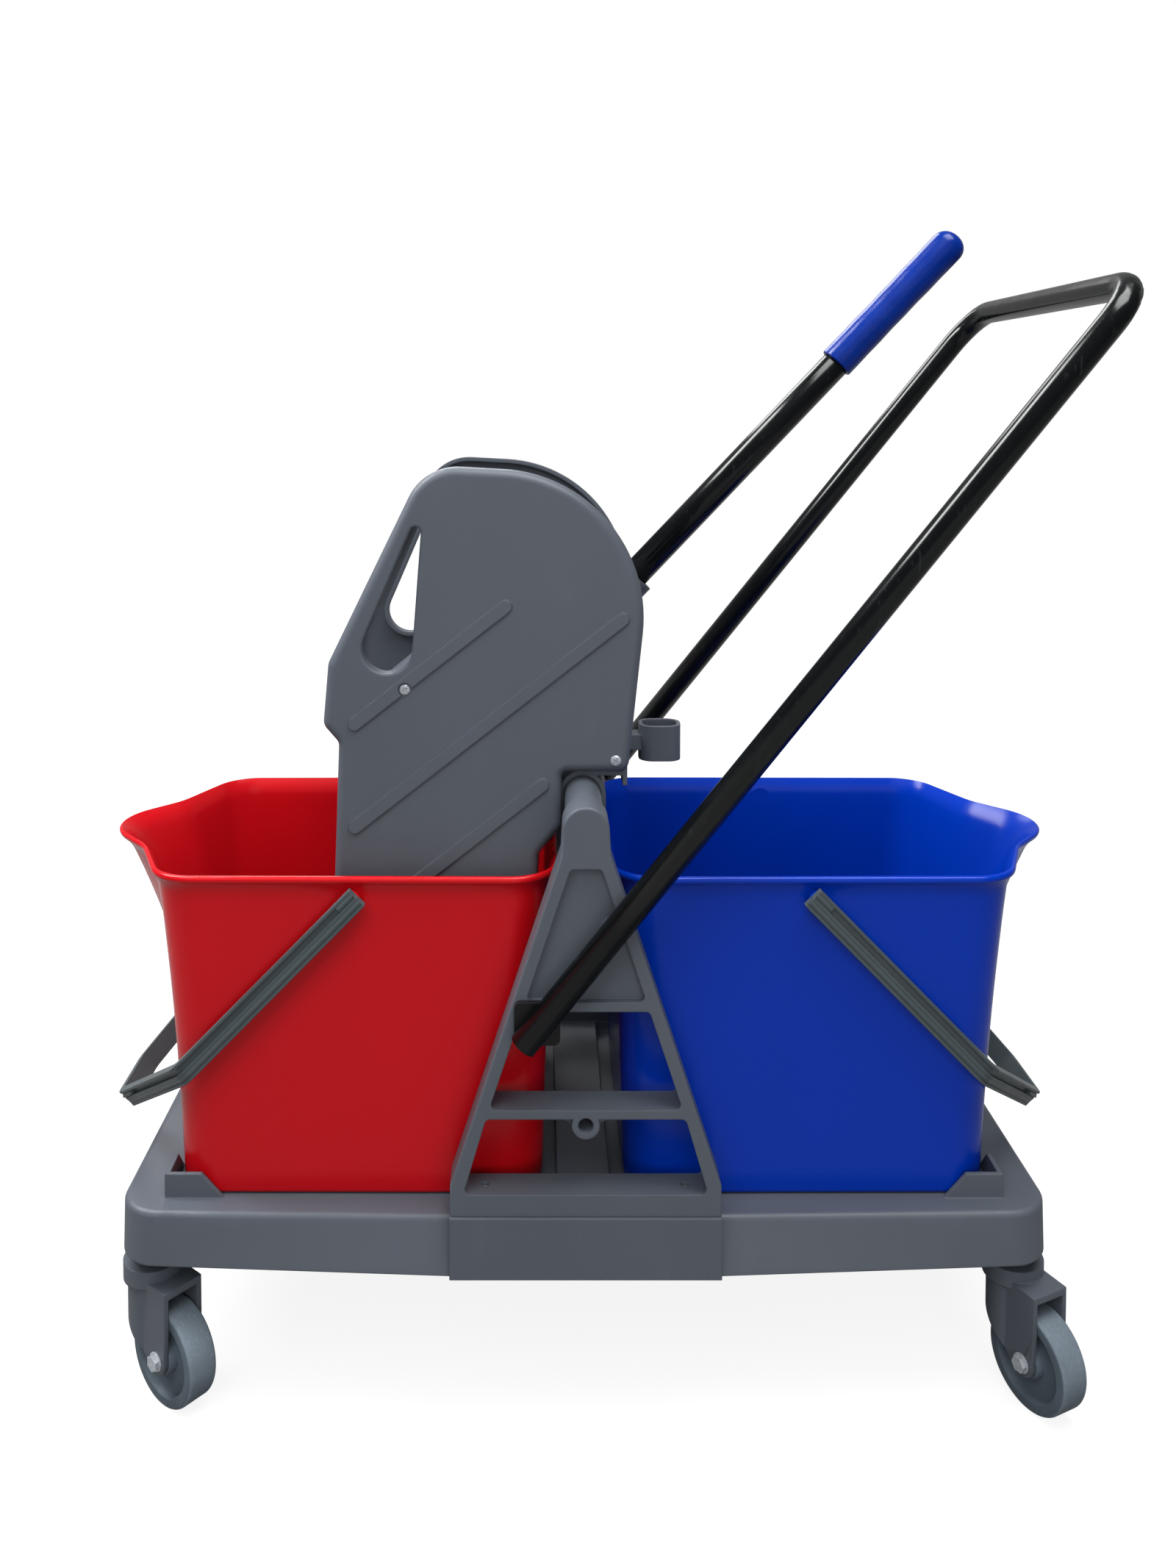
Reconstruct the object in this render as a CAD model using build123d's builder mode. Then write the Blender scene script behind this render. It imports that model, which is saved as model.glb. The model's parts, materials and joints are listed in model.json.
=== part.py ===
"""Mop wringer trolley: two lift-out buckets on a castered base, a lever press wringer and a push handle.

The trolley stands on the floor at z = 0, centred between its two towers. X runs along the base from the
red bucket to the blue one, Y runs across it from the near tower to the far one, and Z is up.
Lengths are in millimetres and angles in degrees.
"""

import os
from math import acos, atan2, cos, degrees, hypot, pi, radians, sin, sqrt

from build123d import *

os.makedirs("parts", exist_ok=True)

# Fits
seat_gap = 0.3
fit_gap = 0.05
run_gap = 0.06

# Casters
wheel_d = 80.0
wheel_w = 26.0
wheel_edge_r = 3.0
wheel_rim = 9.0
wheel_dish = 5.0
wheel_hub_d = 26.0
axle_d = 8.0
axle_head_d = 14.0
axle_head_h = 4.5
caster_trail = 28.0
caster_h = 124.0
swivel_x = 358.0
swivel_y = 129.0
fork_roof = 6.0
fork_side_gap = 0.75
fork_cheek = 4.2
fork_front = 12.5
fork_drum_d = 42.0
fork_toe_d = 22.0
fork_shoulder_z = 70.0
fork_head_d = 49.0
fork_head_h = 9.0
stem_d = 11.0
stem_head_d = 17.0
stem_head_h = 4.0
stem_depth = 26.0
socket_flange_d = 34.0
socket_flange_h = 14.7
socket_d = 19.0
caster_headings = {"near_left": -40.0, "near_right": -64.0, "far_left": -52.0, "far_right": -47.0}

# Base
base_l = 760.0
base_end_w = 332.0
base_mid_w = 360.0
base_top_end_w = 326.0
base_top_mid_w = 336.0
base_h = 42.0
base_wall = 4.0
base_edge_r = 5.0
base_corner_r = 36.0
deck_t = 5.0
rib_t = 3.0
rib_rise = 4.0
rib_y = 62.0
rib_x = (75.0, 165.0, 255.0)
caster_boss_d = 40.0
pad_l = 216.0
pad_span = 370.0
pad_in = 150.0
pad_rise = 8.0
ridge_w = 44.0
stop_h = 20.0
stop_t = 4.0
stop_gap = 1.5
stop_end_gap = 5.0
stop_long = 48.0
stop_short = 30.0

# Towers and the beam between them
tower_h = 328.0
tower_t = 30.0
tower_setback = 2.3
tower_flange = 10.5
tower_edge_r = 2.0
foot_w = 215.0
foot_h = 25.0
foot_rail = 18.0
low_window_h = 61.0
high_window_h = 79.0
panel_h = 106.0
panel_t = 5.0
panel_recess = 7.0
cross_rib = 7.5
knuckle_w = 37.0
shoulder_drop = 39.0
shoulder_w = 39.0
boss_d = 22.0
boss_bore_d = 12.0
boss_drop = 5.0
gusset_l = 30.0
gusset_t = 4.0
window_r = 4.5
tower_screw_d = 6.0
tower_screw_head_d = 12.0
tower_screw_head_h = 4.0
tower_screw_x = 80.0
tower_screw_l = 20.0
beam_w = 31.0
beam_h = 57.0
beam_wall = 4.0
tongue_l = 12.0

# Push handle
handle_d = 22.0
handle_wall = 1.8
handle_bend_r = 42.0
handle_l = 757.0
handle_tilt = 51.4
handle_foot_x = -49.7
handle_foot_drop = 21.5
handle_bolt_d = 6.0
handle_bolt_head_d = 12.0
handle_bolt_head_h = 4.0
handle_bolt_low = 18.0
handle_bolt_high = 110.0
bolt_pad_d = 16.0
saddle_w = 36.0
saddle_h = 34.0
saddle_lip = 5.3
saddle_plug = 17.0
saddle_corner_r = 5.0

# Buckets
bucket_h = 267.0
bucket_wall = 3.0
bucket_floor = 4.0
bucket_in_top = 26.5
bucket_in_low = 34.0
bucket_out_top = 345.0
bucket_out_low = 335.0
bow_top = 88.0
bow_low = 12.0
bow_growth = 2.5
throat_share = 0.375
throat_y = 62.0
rim_in_w = 282.0
rim_out_w = 278.0
foot_in_w = 279.0
foot_out_w = 277.0
bucket_in_r = 34.0
bucket_out_r = 38.0
throat_r = 60.0
spout_r = 52.0
bucket_levels = (0.4, 0.7, 0.88)
lip_w = 5.5
lip_h = 7.0
lip_r = 2.4

# Bails
bail_x = 190.0
bail_below_rim = 20.0
bail_hang = 45.5
bail_arm = 195.5
bail_reach = 311.0
bail_grip = 64.0
bail_tail = 9.0
bail_w = 18.0
bail_t = 7.0
bail_bend_r = 16.0
bail_web = 3.4
bail_edge = 2.6
bail_rib = 3.0
bail_lip_gap = 2.0
peg_d = 10.0
peg_l = 9.0
peg_boss_d = 17.0

# Wringer frame: places in X and in height over the beam's top. The plates' corners, each with its radius, run
# anticlockwise from the front, with a notch round the red bucket's rim and the beam between the two lists.
plate_low = ((-212.0, -167.0, 25.0), (-41.0, -167.0, 20.0))
plate_high = (
    (38.0, 6.5, 9.0),
    (64.0, 253.4, 125.0),
    (-132.5, 264.0, 45.0),
    (-213.5, 98.0, 14.0),
    (-218.0, 46.0, 10.0),
    (-205.0, 31.0, 8.0),
)
notch_wall_gap = 8.0
notch_low = 4.7
notch_high = 28.7
notch_r = 12.0
notch_beam_gap = 2.0
notch_beam_r = 5.0
plate_out = 108.5
plate_depth = 14.0
plate_t = 4.0
plate_flange = 4.0
plate_edge_r = 8.0
plate_rib_w = 11.0
plate_rib_h = 2.0
plate_rib_slope = 38.0
plate_rib_x = -191.0
plate_rib_runs = ((48.0, 160.0), (-39.0, 284.0), (-126.0, 199.0))
grip_top_place = (-139.7, 208.0)
grip_low_place = (-163.7, 111.0)
grip_top_d = 9.0
grip_low_d = 42.0
grip_edge_r = 2.5
tie_front_place = (-148.7, 77.0)
tie_rear_place = (27.3, 17.0)
tie_d = 12.0
plate_screw_d = 4.4
plate_screw_head_d = 9.0
plate_screw_head_h = 2.6
plate_screw_l = 22.0
screw_room = 1.0
pivot_rise = 105.5
pivot_d = 16.0
pivot_boss_d = 24.0
pivot_boss_end = 66.0
hook_t = 4.0
hook_leg = 18.0
bridge_web = 4.0
bridge_back_x = 38.0
bridge_back = 4.0
bridge_back_h = 30.0
loop_l = 38.0
loop_w = 32.0
loop_h = 32.0
loop_t = 3.5
loop_neck = 13.0
loop_neck_w = 20.0
loop_neck_h = 14.0
loop_rise = 7.0
loop_flange_t = 3.5
loop_screw_d = 4.4
loop_screw_y = 11.0
loop_screw_rise = 11.5
loop_screw_head_d = 8.0
loop_screw_head_h = 2.6

# Press basket and jaw
basket_t = 4.0
basket_gap = 4.5
basket_front_x = -197.0
basket_start_x = -49.0
basket_lip_rise = 38.0
slot_w = 8.0
slot_pitch = 20.0
slot_count = 8
slot_margin = 14.0
jaw_tilt = 3.3
jaw_offset = 39.0
jaw_t = 8.0
jaw_drop = 254.0
jaw_top = 40.0
jaw_half_w = 92.0
jaw_rib_h = 9.0
jaw_rib_t = 6.0
jaw_rib_y = (20.0, 60.0)
hub_d = 30.0
socket_out_d = 38.0
socket_reach = 74.0

# Lever and its return spring
lever_tilt = 46.61
lever_d = 25.4
lever_wall = 2.0
lever_start = 24.0
lever_end = 484.0
lever_grip_d = 31.0
lever_grip_start = 338.0
lever_grip_end = 495.0
lever_grip_round = 13.0
lever_bolt_at = 56.0
lever_bolt_d = 6.0
lever_bolt_head_d = 11.0
lever_bolt_head_h = 4.0
spring_wire = 3.5
spring_turns = 5
spring_pitch = 4.4
spring_mean_d = 28.2
spring_y = 74.0
spring_stop = 40.0

# Levels worked out from the sizes above
deck_z = caster_h + base_h
pad_top = deck_z + pad_rise
tower_top = pad_top + tower_h
tower_out = pad_span / 2 - tower_setback
tower_in = tower_out - tower_t
shoulder_z = tower_top - shoulder_drop
low_window_z = pad_top + foot_rail
high_window_z = low_window_z + low_window_h + cross_rib
panel_z = high_window_z + high_window_h + cross_rib
boss_z = low_window_z + low_window_h - boss_drop
high_window_top = high_window_z + high_window_h
handle_foot_z = high_window_top - handle_foot_drop
bucket_z = deck_z + seat_gap
rim_z = bucket_z + bucket_h
axle_z = wheel_d / 2
head_top = caster_h - socket_flange_h - seat_gap
fork_top = head_top - fork_head_h
fork_roof_z = fork_top - fork_roof
plate_in = plate_out - plate_depth
plate_floor = plate_out - plate_t
handle_y = tower_out + seat_gap + handle_d / 2
notch_x = -(bucket_in_top + bucket_wall + notch_wall_gap)
beam_side = -(beam_w / 2 + notch_beam_gap)
plate_corners = [(x, tower_top + rise, radius) for x, rise, radius in plate_low]
plate_corners += [(notch_x, rim_z + notch_low, notch_r), (beam_side, rim_z + notch_high, notch_r)]
plate_corners += [(beam_side, tower_top + plate_high[0][1], notch_beam_r)]
plate_corners += [(x, tower_top + rise, radius) for x, rise, radius in plate_high]
plate_ribs = [(tower_top + rise, length) for rise, length in plate_rib_runs]
grip_top, grip_low = [(x, tower_top + rise) for x, rise in (grip_top_place, grip_low_place)]
tie_front, tie_rear = [(x, tower_top + rise) for x, rise in (tie_front_place, tie_rear_place)]
loop_z = tower_top + loop_rise
basket_lip_z = tower_top + basket_lip_rise
pivot_z = tower_top + pivot_rise
pivot = (0.0, pivot_z)
lever_bolt_place = (
    lever_bolt_at * cos(radians(lever_tilt)),
    pivot_z + lever_bolt_at * sin(radians(lever_tilt)),
)


def closed_face(points, radius):
    """Fill a closed outline whose corners are rounded by the given radius or radii."""
    with BuildLine() as outline:
        FilletPolyline(*points, radius=radius, close=True)
    make_face(outline.edges())


def inset_outline(corners, inset):
    """Draw the sides of an anticlockwise outline in, and give its new corners and their radii."""
    points, radii = [], []
    for index, (x, y, radius) in enumerate(corners):
        here = Vector(x, y)
        ahead = Vector(*corners[(index + 1) % len(corners)][:2]) - here
        behind = here - Vector(*corners[index - 1][:2])
        ahead, behind = ahead.normalized(), behind.normalized()
        normals = Vector(-behind.Y, behind.X), Vector(-ahead.Y, ahead.X)
        step = (normals[0] + normals[1]) * (inset / (1 + normals[0].dot(normals[1])))
        points.append((x + step.X, y + step.Y))
        hollow = behind.cross(ahead).Z < 0
        radii.append(radius + inset if hollow else radius - inset)
    return points, radii


def save(part, name):
    """Label a finished piece and write it to its own file."""
    part.label = name
    export_step(part, f"parts/{name}.step")


# Caster wheels, forks and axles


def caster_frames(corner):
    """Give the level plane at a caster's swivel axis and the upright plane through its trail."""
    side_y, side_x = corner.split("_")
    x = swivel_x if side_x == "right" else -swivel_x
    y = swivel_y if side_y == "far" else -swivel_y
    heading = radians(caster_headings[corner])
    along = (cos(heading), sin(heading), 0)
    level = Plane(origin=(x, y, 0), x_dir=along, z_dir=(0, 0, 1))
    upright = Plane(origin=(x, y, 0), x_dir=along, z_dir=(sin(heading), -cos(heading), 0))
    return level, upright


def caster_wheel(corner):
    """A wheel with a flat tread, a raised rim ring on each face and a hub as wide as the fork allows."""
    upright = caster_frames(corner)[1]
    axle_frame = Plane(upright.from_local_coords((caster_trail, axle_z, 0)), upright.x_dir, upright.z_dir)
    half = wheel_w / 2
    hub_half = half + fork_side_gap - seat_gap
    rim_in = wheel_d / 2 - wheel_rim
    with BuildPart(axle_frame) as wheel:
        with BuildSketch(axle_frame):
            Circle(wheel_d / 2)
        extrude(amount=half, both=True)
        fillet(wheel.edges().filter_by(GeomType.CIRCLE), radius=wheel_edge_r)
        for face in (1, -1):
            dish = axle_frame.offset(face * (half - wheel_dish))
            with BuildSketch(dish):
                Circle(rim_in - wheel_dish / 2)
            extrude(amount=face * wheel_dish * 2, taper=-14, mode=Mode.SUBTRACT)
        with BuildSketch(axle_frame):
            Circle(wheel_hub_d / 2)
        extrude(amount=hub_half, both=True)
        with BuildSketch(axle_frame):
            Circle(axle_d / 2 + run_gap)
        extrude(amount=hub_half, both=True, mode=Mode.SUBTRACT)
    return wheel.part


def caster_fork(corner):
    """A moulded fork: round swivel head and drum, a hood over the wheel and two cheeks down to the axle."""
    level, upright = caster_frames(corner)
    half = wheel_w / 2 + fork_side_gap + fork_cheek
    front = caster_trail + fork_front
    back = fork_drum_d / 2
    with BuildPart() as fork:
        with BuildSketch(upright):
            with Locations((caster_trail, axle_z)):
                Circle(fork_toe_d / 2)
            with Locations(((front - back) / 2, (fork_top + fork_shoulder_z) / 2)):
                Rectangle(front + back, fork_top - fork_shoulder_z)
            make_hull()
        extrude(amount=back, both=True)
        with BuildSketch(level):
            Circle(back)
            with Locations((front / 2, 0)):
                Rectangle(front, half * 2)
        extrude(amount=fork_top, mode=Mode.INTERSECT)
        with BuildSketch(level.offset(fork_roof_z)):
            Circle(fork_head_d / 2)
        extrude(amount=head_top - fork_roof_z)
        wheel_back = caster_trail - wheel_d / 2 - seat_gap * 10
        with BuildSketch(upright):
            with Locations(((wheel_back + front) / 2, fork_roof_z / 2)):
                Rectangle(front - wheel_back + seat_gap, fork_roof_z)
        extrude(amount=half - fork_cheek, both=True, mode=Mode.SUBTRACT)
        with BuildSketch(level.offset(fork_roof_z)):
            Circle(stem_d / 2 + run_gap)
        extrude(amount=head_top - fork_roof_z, mode=Mode.SUBTRACT)
        with BuildSketch(upright):
            with Locations((caster_trail, axle_z)):
                Circle(axle_d / 2 + fit_gap)
        extrude(amount=half, both=True, mode=Mode.SUBTRACT)
    return fork.part


def caster_axle(corner):
    """A hexagon bolt through both cheeks and the wheel, with its nut."""
    upright = caster_frames(corner)[1]
    axle_frame = Plane(upright.from_local_coords((caster_trail, axle_z, 0)), upright.x_dir, upright.z_dir)
    half = wheel_w / 2 + fork_side_gap + fork_cheek
    with BuildPart() as axle:
        with BuildSketch(axle_frame):
            Circle(axle_d / 2)
        extrude(amount=half + axle_head_h, both=True)
        for face in (1, -1):
            with BuildSketch(axle_frame.offset(face * half)):
                RegularPolygon(axle_head_d / 2, 6)
            extrude(amount=face * axle_head_h)
    return axle.part


for corner in caster_headings:
    save(caster_wheel(corner), f"wheel_{corner}")
    save(caster_fork(corner), f"fork_{corner}")
    save(caster_axle(corner), f"axle_bolt_{corner}")

swivels = [(x, y) for x in (-swivel_x, swivel_x) for y in (-swivel_y, swivel_y)]

# Flanged sleeves that carry the casters under the base
with BuildPart() as caster_sockets:
    with BuildSketch(Plane.XY.offset(head_top + seat_gap)):
        with Locations(swivels):
            Circle(socket_flange_d / 2)
    extrude(amount=socket_flange_h)
    with BuildSketch(Plane.XY.offset(caster_h)):
        with Locations(swivels):
            Circle(socket_d / 2)
    extrude(amount=stem_depth)
    with BuildSketch(Plane.XY.offset(head_top)):
        with Locations(swivels):
            Circle(stem_d / 2 + fit_gap)
    extrude(amount=caster_h + stem_depth - head_top, mode=Mode.SUBTRACT)
save(caster_sockets.part, "caster_sockets")

# Steel stems that each fork turns on
with BuildPart() as caster_stems:
    with BuildSketch(Plane.XY.offset(fork_roof_z - seat_gap)):
        with Locations(swivels):
            Circle(stem_d / 2)
    extrude(amount=caster_h + stem_depth - fork_roof_z)
    with BuildSketch(Plane.XY.offset(fork_roof_z - seat_gap)):
        with Locations(swivels):
            Circle(stem_head_d / 2)
    extrude(amount=-stem_head_h)
save(caster_stems.part, "caster_stems")


# Base tray


def base_outline(end_w, mid_w, inset):
    """Corners of the base's plan, whose long sides swell from the ends to the middle."""
    x_end, x_mid = base_l / 2 - inset, pad_l / 2
    y_end, y_mid = end_w / 2 - inset, mid_w / 2 - inset
    near = [(-x_end, -y_end), (-x_mid, -y_mid), (x_mid, -y_mid), (x_end, -y_end)]
    return near + [(-x, -y) for x, y in near]


def base_loft(inset, top_z, mode):
    """Loft the base's shape between its lower edge and the given level, drawn in by an inset."""
    corner = base_corner_r - inset
    radii = [corner, 0, 0, corner] * 2
    with BuildSketch(Plane.XY.offset(caster_h)) as low:
        closed_face(base_outline(base_end_w, base_mid_w, inset), radii)
    with BuildSketch(Plane.XY.offset(top_z)) as high:
        closed_face(base_outline(base_top_end_w, base_top_mid_w, inset), radii)
    loft([low.sketch, high.sketch], ruled=True, mode=mode)


stop_x = bucket_out_low + stop_end_gap
stop_y = foot_out_w / 2 + stop_gap
pad_mid = (pad_span / 2 + pad_in) / 2
pad_w = pad_span / 2 - pad_in
pad_places = [(0, -pad_mid), (0, pad_mid)]
screw_places = [(x, y * (tower_out + tower_in) / 2) for x in (-tower_screw_x, tower_screw_x) for y in (-1, 1)]

with BuildPart() as base_tray:
    base_loft(0, deck_z, Mode.ADD)
    fillet(base_tray.faces().sort_by(Axis.Z)[-1].edges(), radius=base_edge_r)
    base_loft(base_wall, deck_z - deck_t, Mode.SUBTRACT)
    # Raised pads under the towers and the ridge between the buckets
    with BuildSketch(Plane.XY.offset(caster_h)):
        with Locations(pad_places):
            Rectangle(pad_l, pad_w)
    extrude(amount=pad_top - caster_h)
    with BuildSketch(Plane.XY.offset(caster_h)):
        with Locations(pad_places):
            Rectangle(pad_l - base_wall * 2, pad_w - base_wall * 2)
    extrude(amount=pad_top - deck_t - caster_h, mode=Mode.SUBTRACT)
    with BuildSketch(Plane.XY.offset(deck_z - deck_t)):
        Rectangle(ridge_w, pad_in * 2)
    extrude(amount=pad_rise + deck_t)
    # Stiffening ribs and caster bosses under the deck
    with BuildSketch(Plane.XY.offset(caster_h + rib_rise)):
        with Locations((0, -rib_y), (0, rib_y)):
            Rectangle(base_l - base_wall, rib_t)
        with Locations([(side * x, 0) for x in rib_x for side in (-1, 1)]):
            Rectangle(rib_t, pad_in * 2 + base_wall)
    extrude(amount=deck_z - deck_t - caster_h - rib_rise)
    with BuildSketch(Plane.XY.offset(caster_h)):
        with Locations(swivels):
            Circle(caster_boss_d / 2)
    extrude(amount=deck_z - deck_t - caster_h)
    with BuildSketch(Plane.XY.offset(caster_h)):
        with Locations(swivels):
            Circle(socket_d / 2 + fit_gap)
    extrude(amount=stem_depth + seat_gap, mode=Mode.SUBTRACT)
    # Angle stops that hold the buckets' outer corners
    for side_x in (-1, 1):
        for side_y in (-1, 1):
            corner = (side_x * (stop_x + stop_t), side_y * (stop_y + stop_t), deck_z - seat_gap)
            along_x = Plane(corner, x_dir=(-side_x, 0, 0), z_dir=(0, side_x, 0))
            along_y = Plane(corner, x_dir=(0, -side_y, 0), z_dir=(-side_y, 0, 0))
            for leg, turn in ((along_x, -side_x * side_y), (along_y, side_x * side_y)):
                with BuildSketch(leg):
                    rise = stop_h + seat_gap
                    Polygon((0, 0), (stop_long, 0), (stop_long, seat_gap), (stop_short, rise), (0, rise), align=None)
                extrude(amount=turn * stop_t)
    with BuildSketch(Plane.XY.offset(deck_z)):
        with Locations(screw_places):
            Circle(tower_screw_d / 2 + fit_gap)
    extrude(amount=pad_rise * 2, both=True, mode=Mode.SUBTRACT)
save(base_tray.part, "base_tray")


# Towers


def edge_half(z):
    """Half the tower's width at a level on its sloping sides."""
    foot_top = pad_top + foot_h
    share = (z - foot_top) / (shoulder_z - foot_top)
    return foot_w / 2 + (shoulder_w / 2 - foot_w / 2) * max(share, 0)


def window(low, high, inset):
    """Corners of an opening between the tower's flanges."""
    low_half = edge_half(low) - tower_flange - inset
    high_half = edge_half(high) - tower_flange - inset
    return [(-low_half, low), (low_half, low), (high_half, high), (-high_half, high)]


def along_handle(distance):
    """Place along the handle's side tube, from its foot, in X and Z."""
    tilt = radians(handle_tilt)
    return handle_foot_x + distance * cos(tilt), handle_foot_z + distance * sin(tilt)


def beam_profile(inset, wall_low):
    """Round-topped section of the beam, drawn in by an inset on its top and sides."""
    half = beam_w / 2 - inset
    top = tower_top - beam_w / 2
    with BuildLine() as outline:
        Polyline((half, top), (half, wall_low), (-half, wall_low), (-half, top))
        ThreePointArc((-half, top), (0, top + half), (half, top))
    make_face(outline.edges())


tower_face = Plane.XZ.offset(tower_out)
tower_back = Plane.XZ.offset(tower_in)
foot_half = foot_w / 2
shoulder_half = shoulder_w / 2
knuckle_z = tower_top - knuckle_w / 2

with BuildPart() as tower_near:
    with BuildSketch(tower_back):
        with BuildLine():
            Polyline(
                (-knuckle_w / 2, knuckle_z),
                (-shoulder_half, shoulder_z),
                (-foot_half, pad_top + foot_h),
                (-foot_half, pad_top),
                (foot_half, pad_top),
                (foot_half, pad_top + foot_h),
                (shoulder_half, shoulder_z),
                (knuckle_w / 2, knuckle_z),
            )
            ThreePointArc((knuckle_w / 2, knuckle_z), (0, tower_top), (-knuckle_w / 2, knuckle_z))
        make_face()
    extrude(amount=tower_t)
    fillet(tower_near.faces().sort_by(Axis.Y)[0].edges().filter_by_position(Axis.Z, pad_top + tower_edge_r, tower_top),
           radius=tower_edge_r)
    for low, height in ((low_window_z, low_window_h), (high_window_z, high_window_h)):
        with BuildSketch(tower_back):
            closed_face(window(low, low + height, 0), window_r)
        extrude(amount=tower_t, mode=Mode.SUBTRACT)
    # Panel left between a shallow recess outside and a deep one inside
    panel = window(panel_z, panel_z + panel_h, 0)
    with BuildSketch(tower_face):
        closed_face(panel, window_r)
    extrude(amount=-panel_recess, mode=Mode.SUBTRACT)
    with BuildSketch(tower_back):
        closed_face(panel, window_r)
    extrude(amount=tower_t - panel_recess - panel_t, mode=Mode.SUBTRACT)
    # Bored boss hung under the lower cross rib on two gussets
    with BuildSketch(tower_back):
        with Locations((0, boss_z)):
            Circle(boss_d / 2)
    extrude(amount=tower_t)
    with BuildSketch(tower_back.offset((tower_t - gusset_t) / 2)):
        with BuildLine():
            Polyline(
                (-gusset_l, low_window_z + low_window_h),
                (-boss_d / 2, boss_z - boss_d / 4),
                (boss_d / 2, boss_z - boss_d / 4),
                (gusset_l, low_window_z + low_window_h),
                close=True,
            )
        make_face()
    extrude(amount=gusset_t)
    with BuildSketch(tower_back):
        with Locations((0, boss_z)):
            Circle(boss_bore_d / 2)
    extrude(amount=tower_t, mode=Mode.SUBTRACT)
    # Pad that the handle tube is bolted to
    with BuildSketch(tower_face):
        with Locations(along_handle(handle_bolt_high)):
            Circle(bolt_pad_d / 2)
    extrude(amount=-panel_recess)
    with BuildSketch(tower_face):
        with Locations(along_handle(handle_bolt_high)):
            Circle(handle_bolt_d / 2 + fit_gap)
    extrude(amount=-panel_recess - panel_t, mode=Mode.SUBTRACT)
    # Pocket for the beam's tongue and holes for the foot screws
    with BuildSketch(tower_back):
        beam_profile(beam_wall - fit_gap, tower_top - beam_h + beam_wall)
    extrude(amount=tongue_l + seat_gap, mode=Mode.SUBTRACT)
    with BuildSketch(Plane.XY.offset(pad_top)):
        with Locations([place for place in screw_places if place[1] < 0]):
            Circle(tower_screw_d / 2 + fit_gap)
    extrude(amount=foot_rail, mode=Mode.SUBTRACT)
save(tower_near.part, "tower_near")

with BuildPart() as tower_far:
    mirror(tower_near.part, about=Plane.XZ)
save(tower_far.part, "tower_far")

# Screws that come up through the pads into the tower feet
with BuildPart() as tower_screws:
    with BuildSketch(Plane.XY.offset(pad_top - deck_t)):
        with Locations(screw_places):
            Circle(tower_screw_d / 2)
    extrude(amount=tower_screw_l)
    with BuildSketch(Plane.XY.offset(pad_top - deck_t)):
        with Locations(screw_places):
            Circle(tower_screw_head_d / 2)
    extrude(amount=-tower_screw_head_h)
save(tower_screws.part, "tower_screws")

# Round-topped beam that the wringer hangs on, hollow below, with a solid tongue at each end
with BuildPart() as hanger_beam:
    with BuildSketch(Plane.XZ):
        beam_profile(0, tower_top - beam_h)
    extrude(amount=tower_in - seat_gap, both=True)
    with BuildSketch(Plane.XZ):
        beam_profile(beam_wall, tower_top - beam_h)
    extrude(amount=tower_in - tongue_l, both=True, mode=Mode.SUBTRACT)
    for side in (-1, 1):
        with BuildSketch(Plane.XZ.offset(side * (tower_in - tongue_l))):
            beam_profile(beam_wall, tower_top - beam_h + beam_wall + fit_gap)
        extrude(amount=side * tongue_l * 2)
save(hanger_beam.part, "hanger_beam")


# Push handle with its saddles and bolts

handle_tilt_r = radians(handle_tilt)
bar_x, bar_z = along_handle(handle_l)
low_bolt, high_bolt = along_handle(handle_bolt_low), along_handle(handle_bolt_high)
tube_in = handle_y - handle_d / 2
foot_point = (handle_foot_x, -handle_y, handle_foot_z)
handle_across = Plane(origin=foot_point, z_dir=(cos(handle_tilt_r), 0, sin(handle_tilt_r)))

with BuildPart() as push_handle:
    with BuildLine() as handle_run:
        FilletPolyline(
            foot_point,
            (bar_x, -handle_y, bar_z),
            (bar_x, handle_y, bar_z),
            (handle_foot_x, handle_y, handle_foot_z),
            radius=handle_bend_r,
        )
    with BuildSketch(handle_across):
        Circle(handle_d / 2)
        Circle(handle_d / 2 - handle_wall, mode=Mode.SUBTRACT)
    sweep(path=handle_run.wire())
    for side in (-1, 1):
        with BuildSketch(Plane.XZ.offset(side * tower_out)):
            with Locations(low_bolt, high_bolt):
                Circle(handle_bolt_d / 2 + fit_gap)
        extrude(amount=side * handle_d / 2, mode=Mode.SUBTRACT)
save(push_handle.part, "push_handle")

# Saddles that fill a corner of each upper window and cradle the handle's feet
with BuildPart() as handle_saddles:
    with BuildSketch(tower_face):
        with Locations(low_bolt):
            RectangleRounded(saddle_w, saddle_h, saddle_corner_r)
    extrude(amount=saddle_lip)
    with BuildSketch(tower_face):
        closed_face(window(high_window_z, high_window_top - seat_gap, seat_gap), window_r - seat_gap)
        with Locations(low_bolt):
            RectangleRounded(saddle_w, saddle_h, saddle_corner_r, mode=Mode.INTERSECT)
    extrude(amount=-saddle_plug)
    with BuildSketch(handle_across):
        Circle(handle_d / 2 + fit_gap)
    extrude(amount=saddle_w * 2, both=True, mode=Mode.SUBTRACT)
    with BuildSketch(tower_face):
        with Locations(low_bolt):
            Circle(handle_bolt_d / 2 + fit_gap)
    extrude(amount=saddle_lip + saddle_plug, both=True, mode=Mode.SUBTRACT)
    mirror(about=Plane.XZ)
save(handle_saddles.part, "handle_saddles")

# Bolts from inside each tower, through a saddle or the panel's pad, into the tube
with BuildPart() as handle_bolts:
    for place, face in ((low_bolt, tower_out - saddle_plug), (high_bolt, tower_out - panel_recess - panel_t)):
        with BuildSketch(Plane.XZ.offset(face)):
            with Locations(place):
                Circle(handle_bolt_d / 2)
        extrude(amount=tube_in + handle_wall * 3 - face)
        with BuildSketch(Plane.XZ.offset(face)):
            with Locations(place):
                RegularPolygon(handle_bolt_head_d / 2, 6)
        extrude(amount=-handle_bolt_head_h)
    mirror(about=Plane.XZ)
save(handle_bolts.part, "handle_bolts")


# Buckets


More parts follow.
